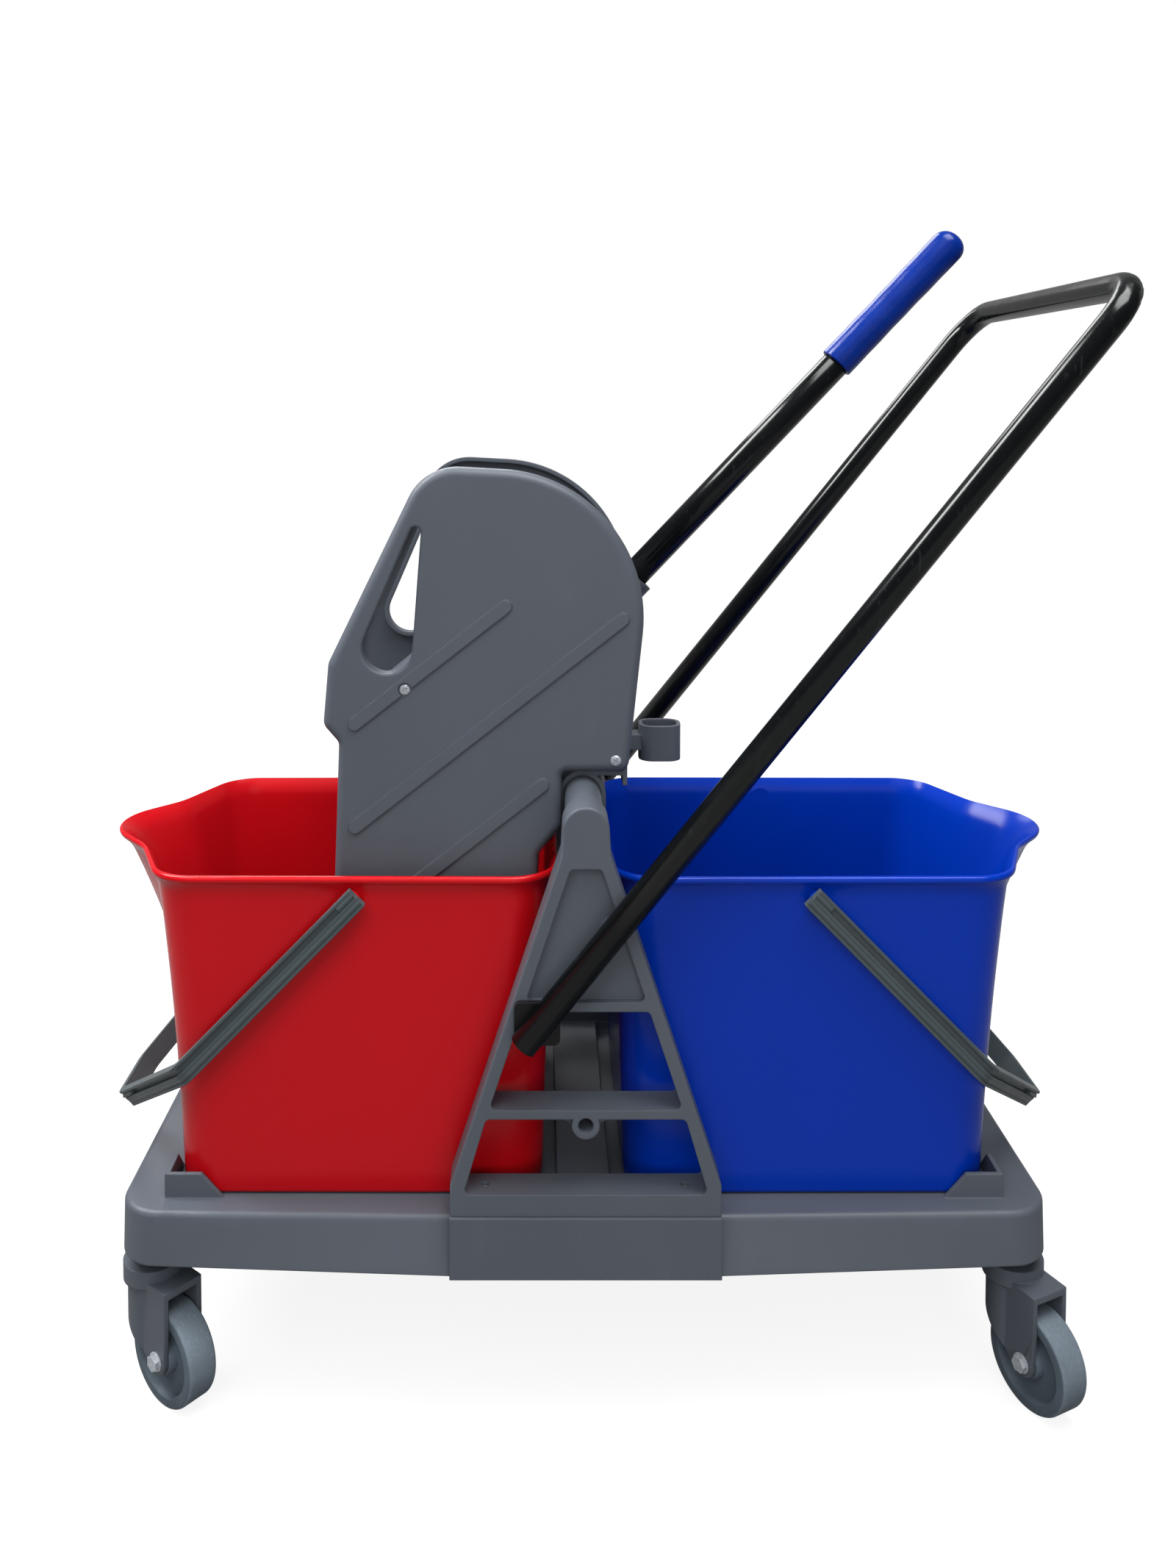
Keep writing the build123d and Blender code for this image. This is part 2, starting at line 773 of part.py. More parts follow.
def bucket_face(z, inset):
    """The bucket's plan at one level: a square inner end and an outer end that swells to a spout."""
    share = (z - bucket_z) / bucket_h
    x_in = bucket_in_low + (bucket_in_top - bucket_in_low) * share
    x_out = bucket_out_low + (bucket_out_top - bucket_out_low) * share
    y_in = (foot_in_w + (rim_in_w - foot_in_w) * share) / 2
    y_out = (foot_out_w + (rim_out_w - foot_out_w) * share) / 2
    bow = bow_low + (bow_top - bow_low) * share**bow_growth
    near = [
        (x_in, -y_in, bucket_in_r),
        (x_out, -y_out, bucket_out_r),
        (x_out + bow * throat_share, -throat_y, throat_r),
    ]
    corners = near + [(x_out + bow, 0, spout_r)] + [(x, -y, radius) for x, y, radius in reversed(near)]
    with BuildSketch(Plane.XY.offset(z)) as plan:
        closed_face(*inset_outline(corners, inset))
    return plan.sketch


bail_z = rim_z - bail_below_rim
bail_in = rim_in_w / 2 + lip_w + bail_lip_gap
peg_tip = bail_in - peg_l

middle_levels = [bucket_z + bucket_h * share for share in bucket_levels]
outer_levels = [bucket_z, *middle_levels, rim_z]
inner_levels = [bucket_z + bucket_floor, *middle_levels, rim_z, rim_z + lip_h]

with BuildPart() as blue_bucket:
    loft([bucket_face(z, 0) for z in outer_levels])
    extrude(bucket_face(rim_z, -lip_w), amount=-lip_h)
    fillet(blue_bucket.faces().sort_by(Axis.Z)[-1].edges(), radius=lip_r)
    with BuildSketch(Plane.XZ):
        with Locations((bail_x, bail_z)):
            Circle(peg_boss_d / 2)
    extrude(amount=bail_in - seat_gap, both=True)
    loft([bucket_face(z, bucket_wall) for z in inner_levels], mode=Mode.SUBTRACT)
    for side in (-1, 1):
        with BuildSketch(Plane.XZ.offset(side * bail_in)):
            with Locations((bail_x, bail_z)):
                Circle(peg_d / 2 + run_gap)
        extrude(amount=-side * (peg_l + seat_gap), mode=Mode.SUBTRACT)
save(blue_bucket.part, "blue_bucket")

with BuildPart() as red_bucket:
    mirror(blue_bucket.part, about=Plane.YZ)
save(red_bucket.part, "red_bucket")


# Bails

bail_mid = bail_in + bail_t / 2
hang = radians(bail_hang)
bail_plane = Plane((bail_x, 0, bail_z), x_dir=(cos(hang), 0, -sin(hang)), z_dir=(sin(hang), 0, cos(hang)))


def bail_strip(shift, width):
    """Draw the bail's bent strip, moved outwards from its middle line, at the given thickness."""
    run, fall = bail_reach - bail_arm, bail_mid - bail_grip / 2
    out_u, out_v = fall / hypot(run, fall), run / hypot(run, fall)
    knee = (bail_arm + shift * (1 - out_v) / out_u, bail_mid + shift)
    fist = (bail_reach + shift, bail_grip / 2 + shift * (1 - out_u) / out_v)
    half = [(-bail_tail, bail_mid + shift), knee, fist]
    other = [(u, -v) for u, v in reversed(half)]
    with BuildLine() as strip:
        FilletPolyline(*half, *other, radius=bail_bend_r + shift)
    trace(strip.edges(), line_width=width)


groove_w = (bail_w - bail_rib) / 2 - bail_edge
groove_mid = bail_rib / 2 + groove_w / 2

with BuildPart() as blue_bail:
    with BuildSketch(bail_plane):
        bail_strip(0, bail_t)
    extrude(amount=bail_w / 2, both=True)
    for level in (-groove_mid, groove_mid):
        with BuildSketch(bail_plane.offset(level)):
            bail_strip(bail_web / 2, bail_t - bail_web)
        extrude(amount=groove_w / 2, both=True, mode=Mode.SUBTRACT)
    for side in (-1, 1):
        with BuildSketch(Plane.XZ.offset(side * (bail_in + bail_web))):
            with Locations((bail_x, bail_z)):
                Circle(peg_d / 2)
        extrude(amount=-side * (peg_l + bail_web))
save(blue_bail.part, "blue_bail")

with BuildPart() as red_bail:
    mirror(blue_bail.part, about=Plane.YZ)
save(red_bail.part, "red_bail")


# Wringer side plates


def plate_face(inset):
    """Fill a side plate's outline, drawn in by an inset, with its hand opening left out."""
    closed_face(*inset_outline(plate_corners, inset))
    with BuildSketch(mode=Mode.PRIVATE) as grip:
        with Locations(grip_top):
            Circle(grip_top_d / 2 + inset)
        with Locations(grip_low):
            Circle(grip_low_d / 2 + inset)
        make_hull()
    add(grip.sketch, mode=Mode.SUBTRACT)


with BuildPart() as side_plate_near:
    with BuildSketch(Plane.XZ.offset(plate_in)):
        plate_face(0)
    extrude(amount=plate_depth)
    fillet(side_plate_near.faces().sort_by(Axis.Y)[0].outer_wire().edges(), radius=plate_edge_r)
    fillet(side_plate_near.faces().sort_by(Axis.Y)[0].inner_wires()[0].edges(), radius=grip_edge_r)
    with BuildSketch(Plane.XZ.offset(plate_in)):
        plate_face(plate_flange)
    extrude(amount=plate_depth - plate_t, mode=Mode.SUBTRACT)
    # Raised diagonal ribs on the outer face
    with BuildSketch(Plane.XZ.offset(plate_out)):
        for start_z, length in plate_ribs:
            middle_x = plate_rib_x + length / 2 * cos(radians(plate_rib_slope))
            middle_z = start_z + length / 2 * sin(radians(plate_rib_slope))
            with Locations((middle_x, middle_z)):
                SlotCenterToCenter(length, plate_rib_w, rotation=plate_rib_slope)
    extrude(amount=plate_rib_h)
    with BuildSketch(Plane.XZ.offset(plate_out)):
        with Locations(tie_front, tie_rear):
            Circle(plate_screw_head_d / 2 + screw_room)
    extrude(amount=plate_rib_h, mode=Mode.SUBTRACT)
    # Bearing boss for the pivot shaft and holes for the tie screws
    with BuildSketch(Plane.XZ.offset(plate_floor)):
        with Locations(pivot):
            Circle(pivot_boss_d / 2)
    extrude(amount=pivot_boss_end - plate_floor)
    with BuildSketch(Plane.XZ.offset(pivot_boss_end)):
        with Locations(pivot):
            Circle(pivot_d / 2 + fit_gap)
    extrude(amount=plate_floor - pivot_boss_end, mode=Mode.SUBTRACT)
    with BuildSketch(Plane.XZ.offset(plate_floor)):
        with Locations(tie_front, tie_rear):
            Circle(plate_screw_d / 2 + fit_gap)
    extrude(amount=plate_t + plate_rib_h, mode=Mode.SUBTRACT)
save(side_plate_near.part, "side_plate_near")

with BuildPart() as side_plate_far:
    mirror(side_plate_near.part, about=Plane.XZ)
save(side_plate_far.part, "side_plate_far")

# Pan head screws that tie both plates to the basket's rail and the rear bridge
with BuildPart() as plate_screws:
    with BuildSketch(Plane.XZ.offset(plate_out)):
        with Locations(tie_front, tie_rear):
            Circle(plate_screw_d / 2)
    extrude(amount=-plate_screw_l)
    with BuildSketch(Plane.XZ.offset(plate_out)):
        with Locations(tie_front, tie_rear):
            Circle(plate_screw_head_d / 2)
    extrude(amount=plate_screw_head_h)
    fillet(plate_screws.faces().filter_by(Axis.Y).sort_by(Axis.Y)[:2].edges(), radius=plate_screw_head_h / 2)
    mirror(about=Plane.XZ)
save(plate_screws.part, "plate_screws")

# Press basket: a curved grating that the mop is pressed against

tie_half = plate_floor - seat_gap
slot_planes = [Plane.XZ.offset((index - (slot_count - 1) / 2) * slot_pitch) for index in range(slot_count)]
jaw_tip = hypot(jaw_offset + jaw_t / 2, jaw_drop)
floor_r = jaw_tip + basket_gap + basket_t / 2
floor_end = sqrt(floor_r**2 - basket_front_x**2)
floor_from = degrees(atan2(-sqrt(floor_r**2 - basket_start_x**2), basket_start_x))
floor_to = degrees(atan2(-floor_end, basket_front_x))
slot_swing = degrees(slot_margin / floor_r)

with BuildPart() as press_basket:
    with BuildSketch(Plane.XZ):
        with BuildLine():
            grate = CenterArc(pivot, floor_r, floor_from, floor_to - floor_from)
            front = Line(grate @ 1, (basket_front_x, basket_lip_z))
            Line(front @ 1, tie_front)
        trace(line_width=basket_t)
        with Locations(tie_front):
            Circle(tie_d / 2)
    extrude(amount=tie_half, both=True)
    with BuildSketch(*slot_planes):
        with BuildLine():
            CenterArc(pivot, floor_r, floor_from - slot_swing, floor_to - floor_from + slot_swing * 2)
        trace(line_width=basket_t * 3)
    extrude(amount=slot_w / 2, both=True, mode=Mode.SUBTRACT)
    with BuildSketch(*slot_planes):
        with BuildLine():
            Line((basket_front_x, pivot_z - floor_end + slot_margin), (basket_front_x, basket_lip_z - slot_margin))
        trace(line_width=basket_t * 3)
    extrude(amount=slot_w / 2, both=True, mode=Mode.SUBTRACT)
    for side in (-1, 1):
        with BuildSketch(Plane.XZ.offset(side * tie_half)):
            with Locations(tie_front):
                Circle(plate_screw_d / 2 + fit_gap)
        extrude(amount=-side * plate_screw_l, mode=Mode.SUBTRACT)
save(press_basket.part, "press_basket")

# Rear bridge: a saddle over the beam, a web and the wall that the mop holder is screwed to

hook_in = beam_w / 2 + seat_gap
hook_mid = tower_top - beam_w / 2
bridge_half = plate_in - seat_gap
loop_screw_z = loop_z + loop_screw_rise
loop_screw_places = ((-loop_screw_y, loop_screw_z), (loop_screw_y, loop_screw_z))

with BuildPart() as rear_bridge:
    with BuildSketch(Plane.XZ):
        with Locations((0, hook_mid)):
            Circle(hook_in + hook_t)
            Rectangle((hook_in + hook_t) * 2, hook_leg, align=(Align.CENTER, Align.MAX))
        with Locations((0, hook_mid + hook_in + hook_t / 2)):
            Rectangle(bridge_back_x, bridge_web, align=(Align.MIN, Align.CENTER))
        with Locations((bridge_back_x, loop_z)):
            Rectangle(bridge_back, bridge_back_h, align=(Align.MAX, Align.CENTER))
        with Locations(tie_rear):
            Rectangle(bridge_back_x - tie_rear[0], bridge_web, align=(Align.MIN, Align.CENTER))
        with Locations((0, hook_mid)):
            Circle(hook_in, mode=Mode.SUBTRACT)
            Rectangle(hook_in * 2, hook_leg + hook_t, align=(Align.CENTER, Align.MAX), mode=Mode.SUBTRACT)
    extrude(amount=bridge_half, both=True)
    with BuildSketch(Plane.XZ):
        with Locations(tie_rear):
            Circle(tie_d / 2)
    extrude(amount=tie_half, both=True)
    for side in (-1, 1):
        with BuildSketch(Plane.XZ.offset(side * tie_half)):
            with Locations(tie_rear):
                Circle(plate_screw_d / 2 + fit_gap)
        extrude(amount=-side * plate_screw_l, mode=Mode.SUBTRACT)
    with BuildSketch(Plane.YZ.offset(bridge_back_x)):
        with Locations(*loop_screw_places):
            Circle(loop_screw_d / 2 + fit_gap)
    extrude(amount=-bridge_back, mode=Mode.SUBTRACT)
save(rear_bridge.part, "rear_bridge")

# Mop holder: a closed loop on a short neck, screwed to the rear bridge

flange_face = bridge_back_x + loop_flange_t

with BuildPart() as mop_holder_loop:
    with BuildSketch(Plane.YZ.offset(bridge_back_x)):
        with Locations((0, loop_z)):
            RectangleRounded(loop_w, loop_h, loop_t)
    extrude(amount=loop_flange_t)
    with BuildSketch(Plane.XY.offset(loop_z)):
        with Locations((flange_face, 0)):
            Rectangle(loop_neck + loop_t, loop_neck_w, align=(Align.MIN, Align.CENTER))
    extrude(amount=loop_neck_h / 2, both=True)
    with BuildSketch(Plane.XY.offset(loop_z)):
        with Locations((flange_face + loop_neck + loop_l / 2, 0)):
            RectangleRounded(loop_l, loop_w, loop_w / 2 - loop_t)
            RectangleRounded(loop_l - loop_t * 2, loop_w - loop_t * 2, loop_w / 2 - loop_t * 2, mode=Mode.SUBTRACT)
    extrude(amount=loop_h / 2, both=True)
    with BuildSketch(Plane.YZ.offset(bridge_back_x)):
        with Locations(*loop_screw_places):
            Circle(loop_screw_d / 2 + fit_gap)
    extrude(amount=loop_flange_t, mode=Mode.SUBTRACT)
save(mop_holder_loop.part, "mop_holder_loop")

with BuildPart() as loop_screws:
    with BuildSketch(Plane.YZ.offset(flange_face)):
        with Locations(*loop_screw_places):
            Circle(loop_screw_d / 2)
    extrude(amount=-loop_flange_t - bridge_back)
    with BuildSketch(Plane.YZ.offset(flange_face)):
        with Locations(*loop_screw_places):
            Circle(loop_screw_head_d / 2)
    extrude(amount=loop_screw_head_h)
save(loop_screws.part, "loop_screws")

# Pivot shaft held in both plates
with BuildPart() as pivot_shaft:
    with BuildSketch(Plane.XZ):
        with Locations(pivot):
            Circle(pivot_d / 2)
    extrude(amount=tie_half, both=True)
save(pivot_shaft.part, "pivot_shaft")

# Press jaw: a slotted plate on ribbed arms that swings with the lever

tilt = radians(jaw_tilt)
jaw_plane = Plane((0, 0, pivot_z), x_dir=(cos(tilt), 0, -sin(tilt)), z_dir=(0, -1, 0))
jaw_back = Plane((0, 0, pivot_z), x_dir=(0, 1, 0), z_dir=(cos(tilt), 0, -sin(tilt)))
lever_dir = (cos(radians(lever_tilt)), 0, sin(radians(lever_tilt)))
lever_plane = Plane((0, 0, pivot_z), x_dir=(0, 1, 0), z_dir=lever_dir)
hub_half = pivot_boss_end - seat_gap
jaw_mid = -(jaw_top + jaw_drop) / 2
jaw_h = jaw_drop - jaw_top

with BuildPart() as press_jaw:
    with BuildSketch(jaw_plane):
        with Locations((-jaw_offset, jaw_mid)):
            Rectangle(jaw_t, jaw_h)
    extrude(amount=jaw_half_w, both=True)
    with BuildSketch(jaw_plane):
        Circle(hub_d / 2)
    extrude(amount=hub_half, both=True)
    # Arms and back ribs
    with BuildSketch(*[jaw_plane.offset(side * y) for side in (-1, 1) for y in jaw_rib_y]):
        Circle(hub_d / 2)
        with Locations((-jaw_offset, -jaw_top - hub_d / 2)):
            Rectangle(jaw_t, hub_d)
        make_hull()
    extrude(amount=jaw_rib_t / 2, both=True)
    with BuildSketch(*[jaw_plane.offset(side * y) for side in (-1, 1) for y in jaw_rib_y]):
        with Locations((jaw_t / 2 - jaw_offset, -jaw_top - hub_d / 2)):
            Polygon((0, 0), (0, hub_d - jaw_h), (jaw_rib_h, hub_d - jaw_h + jaw_rib_h * 2), (jaw_rib_h, 0), align=None)
    extrude(amount=jaw_rib_t / 2, both=True)
    # Drain slots
    with BuildSketch(jaw_back.offset(-jaw_offset)):
        with Locations((0, jaw_mid - hub_d / 2)):
            with GridLocations(slot_pitch, 1, slot_count, 1):
                SlotOverall(jaw_h - hub_d - slot_margin * 2, slot_w, rotation=90)
    extrude(amount=jaw_t, both=True, mode=Mode.SUBTRACT)
    # Lever socket
    with BuildSketch(lever_plane):
        Circle(socket_out_d / 2)
    extrude(amount=socket_reach)
    with BuildSketch(lever_plane.offset(lever_start)):
        Circle(lever_d / 2 + fit_gap)
    extrude(amount=socket_reach, mode=Mode.SUBTRACT)
    with BuildSketch(jaw_plane):
        Circle(pivot_d / 2 + run_gap)
    extrude(amount=hub_half, both=True, mode=Mode.SUBTRACT)
    with BuildSketch(Plane.XZ):
        with Locations(lever_bolt_place):
            Circle(lever_bolt_d / 2 + fit_gap)
    extrude(amount=socket_out_d, both=True, mode=Mode.SUBTRACT)
save(press_jaw.part, "press_jaw")


# Lever tube, its dipped grip and the bolt that holds it in the jaw's socket

with BuildPart() as lever_tube:
    with BuildSketch(lever_plane.offset(lever_start)):
        Circle(lever_d / 2)
        Circle(lever_d / 2 - lever_wall, mode=Mode.SUBTRACT)
    extrude(amount=lever_end - lever_start)
    with BuildSketch(Plane.XZ):
        with Locations(lever_bolt_place):
            Circle(lever_bolt_d / 2 + fit_gap)
    extrude(amount=lever_d, both=True, mode=Mode.SUBTRACT)
save(lever_tube.part, "lever_tube")

with BuildPart() as lever_grip:
    with BuildSketch(lever_plane.offset(lever_grip_start)):
        Circle(lever_grip_d / 2)
    extrude(amount=lever_grip_end - lever_grip_start)
    fillet(lever_grip.faces().sort_by(Axis.Z)[-1].edges(), radius=lever_grip_round)
    with BuildSketch(lever_plane.offset(lever_grip_start)):
        Circle(lever_d / 2 + fit_gap)
    extrude(amount=lever_end + seat_gap - lever_grip_start, mode=Mode.SUBTRACT)
save(lever_grip.part, "lever_grip")

with BuildPart() as lever_bolt:
    with BuildSketch(Plane.XZ):
        with Locations(lever_bolt_place):
            Circle(lever_bolt_d / 2)
    extrude(amount=socket_out_d / 2 + lever_bolt_head_h, both=True)
    for side in (-1, 1):
        with BuildSketch(Plane.XZ.offset(side * socket_out_d / 2)):
            with Locations(lever_bolt_place):
                RegularPolygon(lever_bolt_head_d / 2, 6)
        extrude(amount=side * lever_bolt_head_h)
save(lever_bolt.part, "lever_bolt")

# Torsion spring on the near bearing boss: one leg lies on the jaw's top edge and one on the plate's rear flange

spring_r = spring_mean_d / 2
spring_lead = spring_pitch / (2 * pi)
jaw_seat = jaw_plane.from_local_coords((-jaw_offset, spring_wire / 2 + seat_gap - jaw_top, 0))
rear_low, rear_high = plate_corners[5], plate_corners[6]
rear_slope = (rear_high[0] - rear_low[0]) / (rear_high[1] - rear_low[1])
rear_x = rear_low[0] + (pivot_z + spring_stop - rear_low[1]) * rear_slope
stop_seat = rear_x - (plate_flange + spring_wire / 2 + seat_gap) * hypot(1, rear_slope)


def tangent_leg(x, z, side):
    """Angle where a straight leg to a point leaves the coil, and the leg's length."""
    reach = hypot(x, z)
    return atan2(z, x) + side * acos(spring_r / reach), sqrt(reach**2 - spring_r**2)


def coil_point(turned):
    """Place on the coil's middle line after turning clockwise through an angle in radians."""
    angle = leg_in_at - turned
    return Vector(spring_r * cos(angle), -spring_y - spring_lead * turned, pivot_z + spring_r * sin(angle))


def coil_heading(turned):
    """Unit direction of the wire at that place."""
    angle = leg_in_at - turned
    return Vector(spring_r * sin(angle), -spring_lead, -spring_r * cos(angle)).normalized()


def biarc(start, end, leave, arrive):
    """Join two places on the coil with two arcs that share a tangent."""
    span, turn = end - start, leave + arrive
    bend = 2 * (1 - leave.dot(arrive))
    reach = (sqrt(span.dot(turn) ** 2 + bend * span.dot(span)) - span.dot(turn)) / bend
    middle = (start + leave * reach + end - arrive * reach) * 0.5
    TangentArc(start, middle, tangent=leave)
    TangentArc(middle, end, tangent=(end - arrive * reach - middle).normalized())


leg_in_at, leg_in_l = tangent_leg(jaw_seat.X, jaw_seat.Z - pivot_z, -1)
leg_out_at, leg_out_l = tangent_leg(stop_seat, spring_stop, 1)
coil_turn = (leg_in_at - leg_out_at) % (2 * pi) + spring_turns * 2 * pi
coil_parts = spring_turns * 4 + 1
coil_stops = [coil_turn * index / coil_parts for index in range(coil_parts + 1)]
leg_in_end = coil_point(0) - coil_heading(0) * leg_in_l
leg_out_end = coil_point(coil_turn) + coil_heading(coil_turn) * (leg_out_l - spring_wire / 2)

with BuildPart() as return_spring:
    with BuildLine() as wire_run:
        Line(leg_in_end, coil_point(0))
        for before, after in zip(coil_stops, coil_stops[1:]):
            biarc(coil_point(before), coil_point(after), coil_heading(before), coil_heading(after))
        Line(coil_point(coil_turn), leg_out_end)
    with BuildSketch(Plane(leg_in_end, z_dir=coil_heading(0))):
        Circle(spring_wire / 2)
    sweep(path=wire_run.wire())
save(return_spring.part, "return_spring")

coil_dots = [coil_point(coil_turn * index / 600) for index in range(601)]
turn_dots = int(600 * pi / coil_turn)
coil_gap = min((a - b).length for i, a in enumerate(coil_dots) for b in coil_dots[i + turn_dots:]) - spring_wire
print(f"return spring: {coil_gap:.2f} mm between neighbouring turns")
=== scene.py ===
"""Dress the mop wringer trolley: moulded shells, enamelled tubes, fasteners, finishes and a plain studio."""

import json
import logging
from dataclasses import dataclass, field
from enum import Enum
from math import atan2, copysign, cos, pi, radians, sin, tan, tau
from typing import Callable, Iterator, Sequence

import bmesh
import bpy
from bmesh.types import BMesh, BMFace, BMVert
from bpy.types import Material, Node, NodeSocket, NodeTree, Object
from mathutils import Matrix, Vector


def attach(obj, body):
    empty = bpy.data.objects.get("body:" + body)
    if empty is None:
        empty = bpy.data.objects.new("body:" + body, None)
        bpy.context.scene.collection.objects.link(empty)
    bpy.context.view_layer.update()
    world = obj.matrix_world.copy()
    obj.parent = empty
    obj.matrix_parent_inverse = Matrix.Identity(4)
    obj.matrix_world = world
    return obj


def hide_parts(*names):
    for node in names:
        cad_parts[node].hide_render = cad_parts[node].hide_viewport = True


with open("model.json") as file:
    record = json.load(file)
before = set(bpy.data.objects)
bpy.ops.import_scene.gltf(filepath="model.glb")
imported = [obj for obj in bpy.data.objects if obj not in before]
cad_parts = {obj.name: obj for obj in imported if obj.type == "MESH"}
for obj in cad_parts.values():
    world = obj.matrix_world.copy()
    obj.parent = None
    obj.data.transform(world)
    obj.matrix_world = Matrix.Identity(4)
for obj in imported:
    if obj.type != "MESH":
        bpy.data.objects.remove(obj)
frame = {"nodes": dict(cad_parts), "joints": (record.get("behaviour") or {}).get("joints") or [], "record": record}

log = logging.getLogger("trolley")
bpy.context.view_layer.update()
MM = 0.001
QUARTER = pi / 2

Point2 = tuple[float, float]
Point3 = tuple[float, float, float]
Colour = tuple[float, float, float, float]
NodePlan = tuple[str, str, dict[str, object], dict[str, object]]
LinkPlan = tuple[str, str | int, str, str | int]


# Finishes

WHITE: Colour = (1.0, 1.0, 1.0, 1.0)
FULL: Point2 = (0.0, 1.0)
MIDDLE: Point2 = (0.3, 0.7)
MIRROR_SPAN: Point2 = (0.1, 0.9)
MIRROR_LEVEL: Point2 = (0.06, 0.35)
MIX_FIRST, MIX_SECOND, MIX_RESULT = 6, 7, 2  # A Mix node's colour sockets.


def srgb(*parts: int) -> Colour:
    """Linear light of a colour whose red, green and blue are given as on a screen, 0 to 255."""
    linear = (share / 12.92 if share <= 0.04045 else ((share + 0.055) / 1.055) ** 2.4
              for share in (part / 255 for part in parts))
    return (*linear, 1.0)


class ShaderTree:
    """A shader's node tree and the steps that build it.

    Args:
        tree: The node tree.
    """

    def __init__(self, tree: NodeTree) -> None:
        """Keep the tree."""
        self.tree = tree

    def node(self, kind: str, links: dict[str, NodeSocket] | None = None, **values: object) -> Node:
        """Add a node.

        Args:
            kind: The node's type without its ShaderNode prefix.
            links: Outputs to join to the node's inputs, by input name.
            values: Input values by name.

        Returns:
            The new node.
        """
        made = self.tree.nodes.new(f"ShaderNode{kind}")
        for name, value in values.items():
            made.inputs[name].default_value = value
        for name, output in (links or {}).items():
            self.tree.links.new(output, made.inputs[name])
        return made

    def spread(self, source: NodeSocket, span: Point2, result: Point2) -> NodeSocket:
        """A value with the part of its range that counts mapped onto another range."""
        ends = dict(zip(("From Min", "From Max", "To Min", "To Max"), span + result))
        return self.node("MapRange", {"Value": source}, **ends).outputs["Result"]

    def combined(self, operation: str, *values: NodeSocket) -> NodeSocket:
        """Put two values through a Math node.

        Args:
            operation: The node's operation.
            values: The values.

        Returns:
            The node's result.
        """
        made = self.node("Math")
        made.operation = operation
        for value, entry in zip(values, made.inputs):
            self.tree.links.new(value, entry)
        return made.outputs["Value"]

    def background_rays(self, place: NodeSocket) -> tuple[NodeSocket, NodeSocket]:
        """Tell rays that see the background, straight, mirrored or through glass, from those that light.

        Args:
            place: Place or direction that a ray meets, whose Y is positive behind the object.

        Returns:
            A value that is 1 for such a ray, and how bright it finds the background, which is dim in
            mirrors, most of all in front of the object.
        """
        rays = self.node("LightPath").outputs
        behind = self.node("SeparateXYZ", {"Vector": place}).outputs["Y"]
        room = self.spread(behind, MIRROR_SPAN, MIRROR_LEVEL)
        mirrored = self.combined("MAXIMUM", rays["Is Glossy Ray"], rays["Is Transmission Ray"])
        direct = self.combined("MAXIMUM", rays["Is Camera Ray"], mirrored)
        return direct, self.combined("MAXIMUM", rays["Is Camera Ray"], room)


class ShaderDraft(ShaderTree):
    """One material's nodes around a Principled shader.

    Args:
        name: The material's name.
    """

    def __init__(self, name: str) -> None:
        """Start a material with its shader and object coordinates."""
        self.material = bpy.data.materials.new(name)
        self.material.use_nodes = True
        super().__init__(self.material.node_tree)
        self.shader = self.tree.nodes["Principled BSDF"]
        self.place = self.node("TexCoord").outputs["Object"]

    def noise(self, scale: float, detail: float, stretch: Point3 | None = None) -> NodeSocket:
        """Add noise in the object's own place.

        Args:
            scale: Noise cells to the metre.
            detail: Octaves.
            stretch: Scale along X, Y and Z, where the marks run one way.

        Returns:
            The noise value, about 0 to 1.
        """
        place = self.place
        if stretch:
            place = self.node("Mapping", {"Vector": place}, Scale=stretch).outputs["Vector"]
        return self.node("TexNoise", {"Vector": place}, Scale=scale, Detail=detail).outputs["Fac"]

    def mix(self, share: NodeSocket, first: Colour | NodeSocket, second: Colour) -> NodeSocket:
        """Mix two colours.

        Args:
            share: How much of the second colour shows.
            first: The first colour, or a socket that gives it.
            second: The second colour.

        Returns:
            The mixed colour.
        """
        mixer = self.node("Mix")
        mixer.data_type = "RGBA"
        self.tree.links.new(share, mixer.inputs["Factor"])
        if isinstance(first, NodeSocket):
            self.tree.links.new(first, mixer.inputs[MIX_FIRST])
        else:
            mixer.inputs[MIX_FIRST].default_value = first
        mixer.inputs[MIX_SECOND].default_value = second
        return mixer.outputs[MIX_RESULT]

    def bump(self, height: NodeSocket, strength: float, depth: float, under: Node | None = None) -> Node:
        """Add a bump.

        Args:
            height: The bump's height, 0 to 1.
            strength: How much of it shows.
            depth: Its full depth, in metres.
            under: The bump or rounding that it lies on.

        Returns:
            The bump's node.
        """
        links = {"Height": height}
        if under:
            links["Normal"] = under.outputs["Normal"]
        return self.node("Bump", links, Strength=strength, Distance=depth)

    def dress(self, values: dict[str, object], **sockets: NodeSocket) -> Material:
        """Set the shader's plain values and joined inputs.

        Args:
            values: Plain values by input name.
            sockets: Outputs to join, by input name with spaces written as underscores.

        Returns:
            The finished material.
        """
        for name, value in values.items():
            self.shader.inputs[name].default_value = value
        for name, output in sockets.items():
            self.tree.links.new(output, self.shader.inputs[name.replace("_", " ")])
        return self.material


@dataclass(frozen=True)
class Surface:
    """What all finishes have.

    Args:
        name: The material's name.
        colour: Its colour in linear light.
    """

    name: str
    colour: Colour

    def tint(self, share: float) -> Colour:
        """The colour made darker or lighter by a share."""
        return tuple(min(part * share, 1.0) for part in self.colour[:3]) + (1.0,)


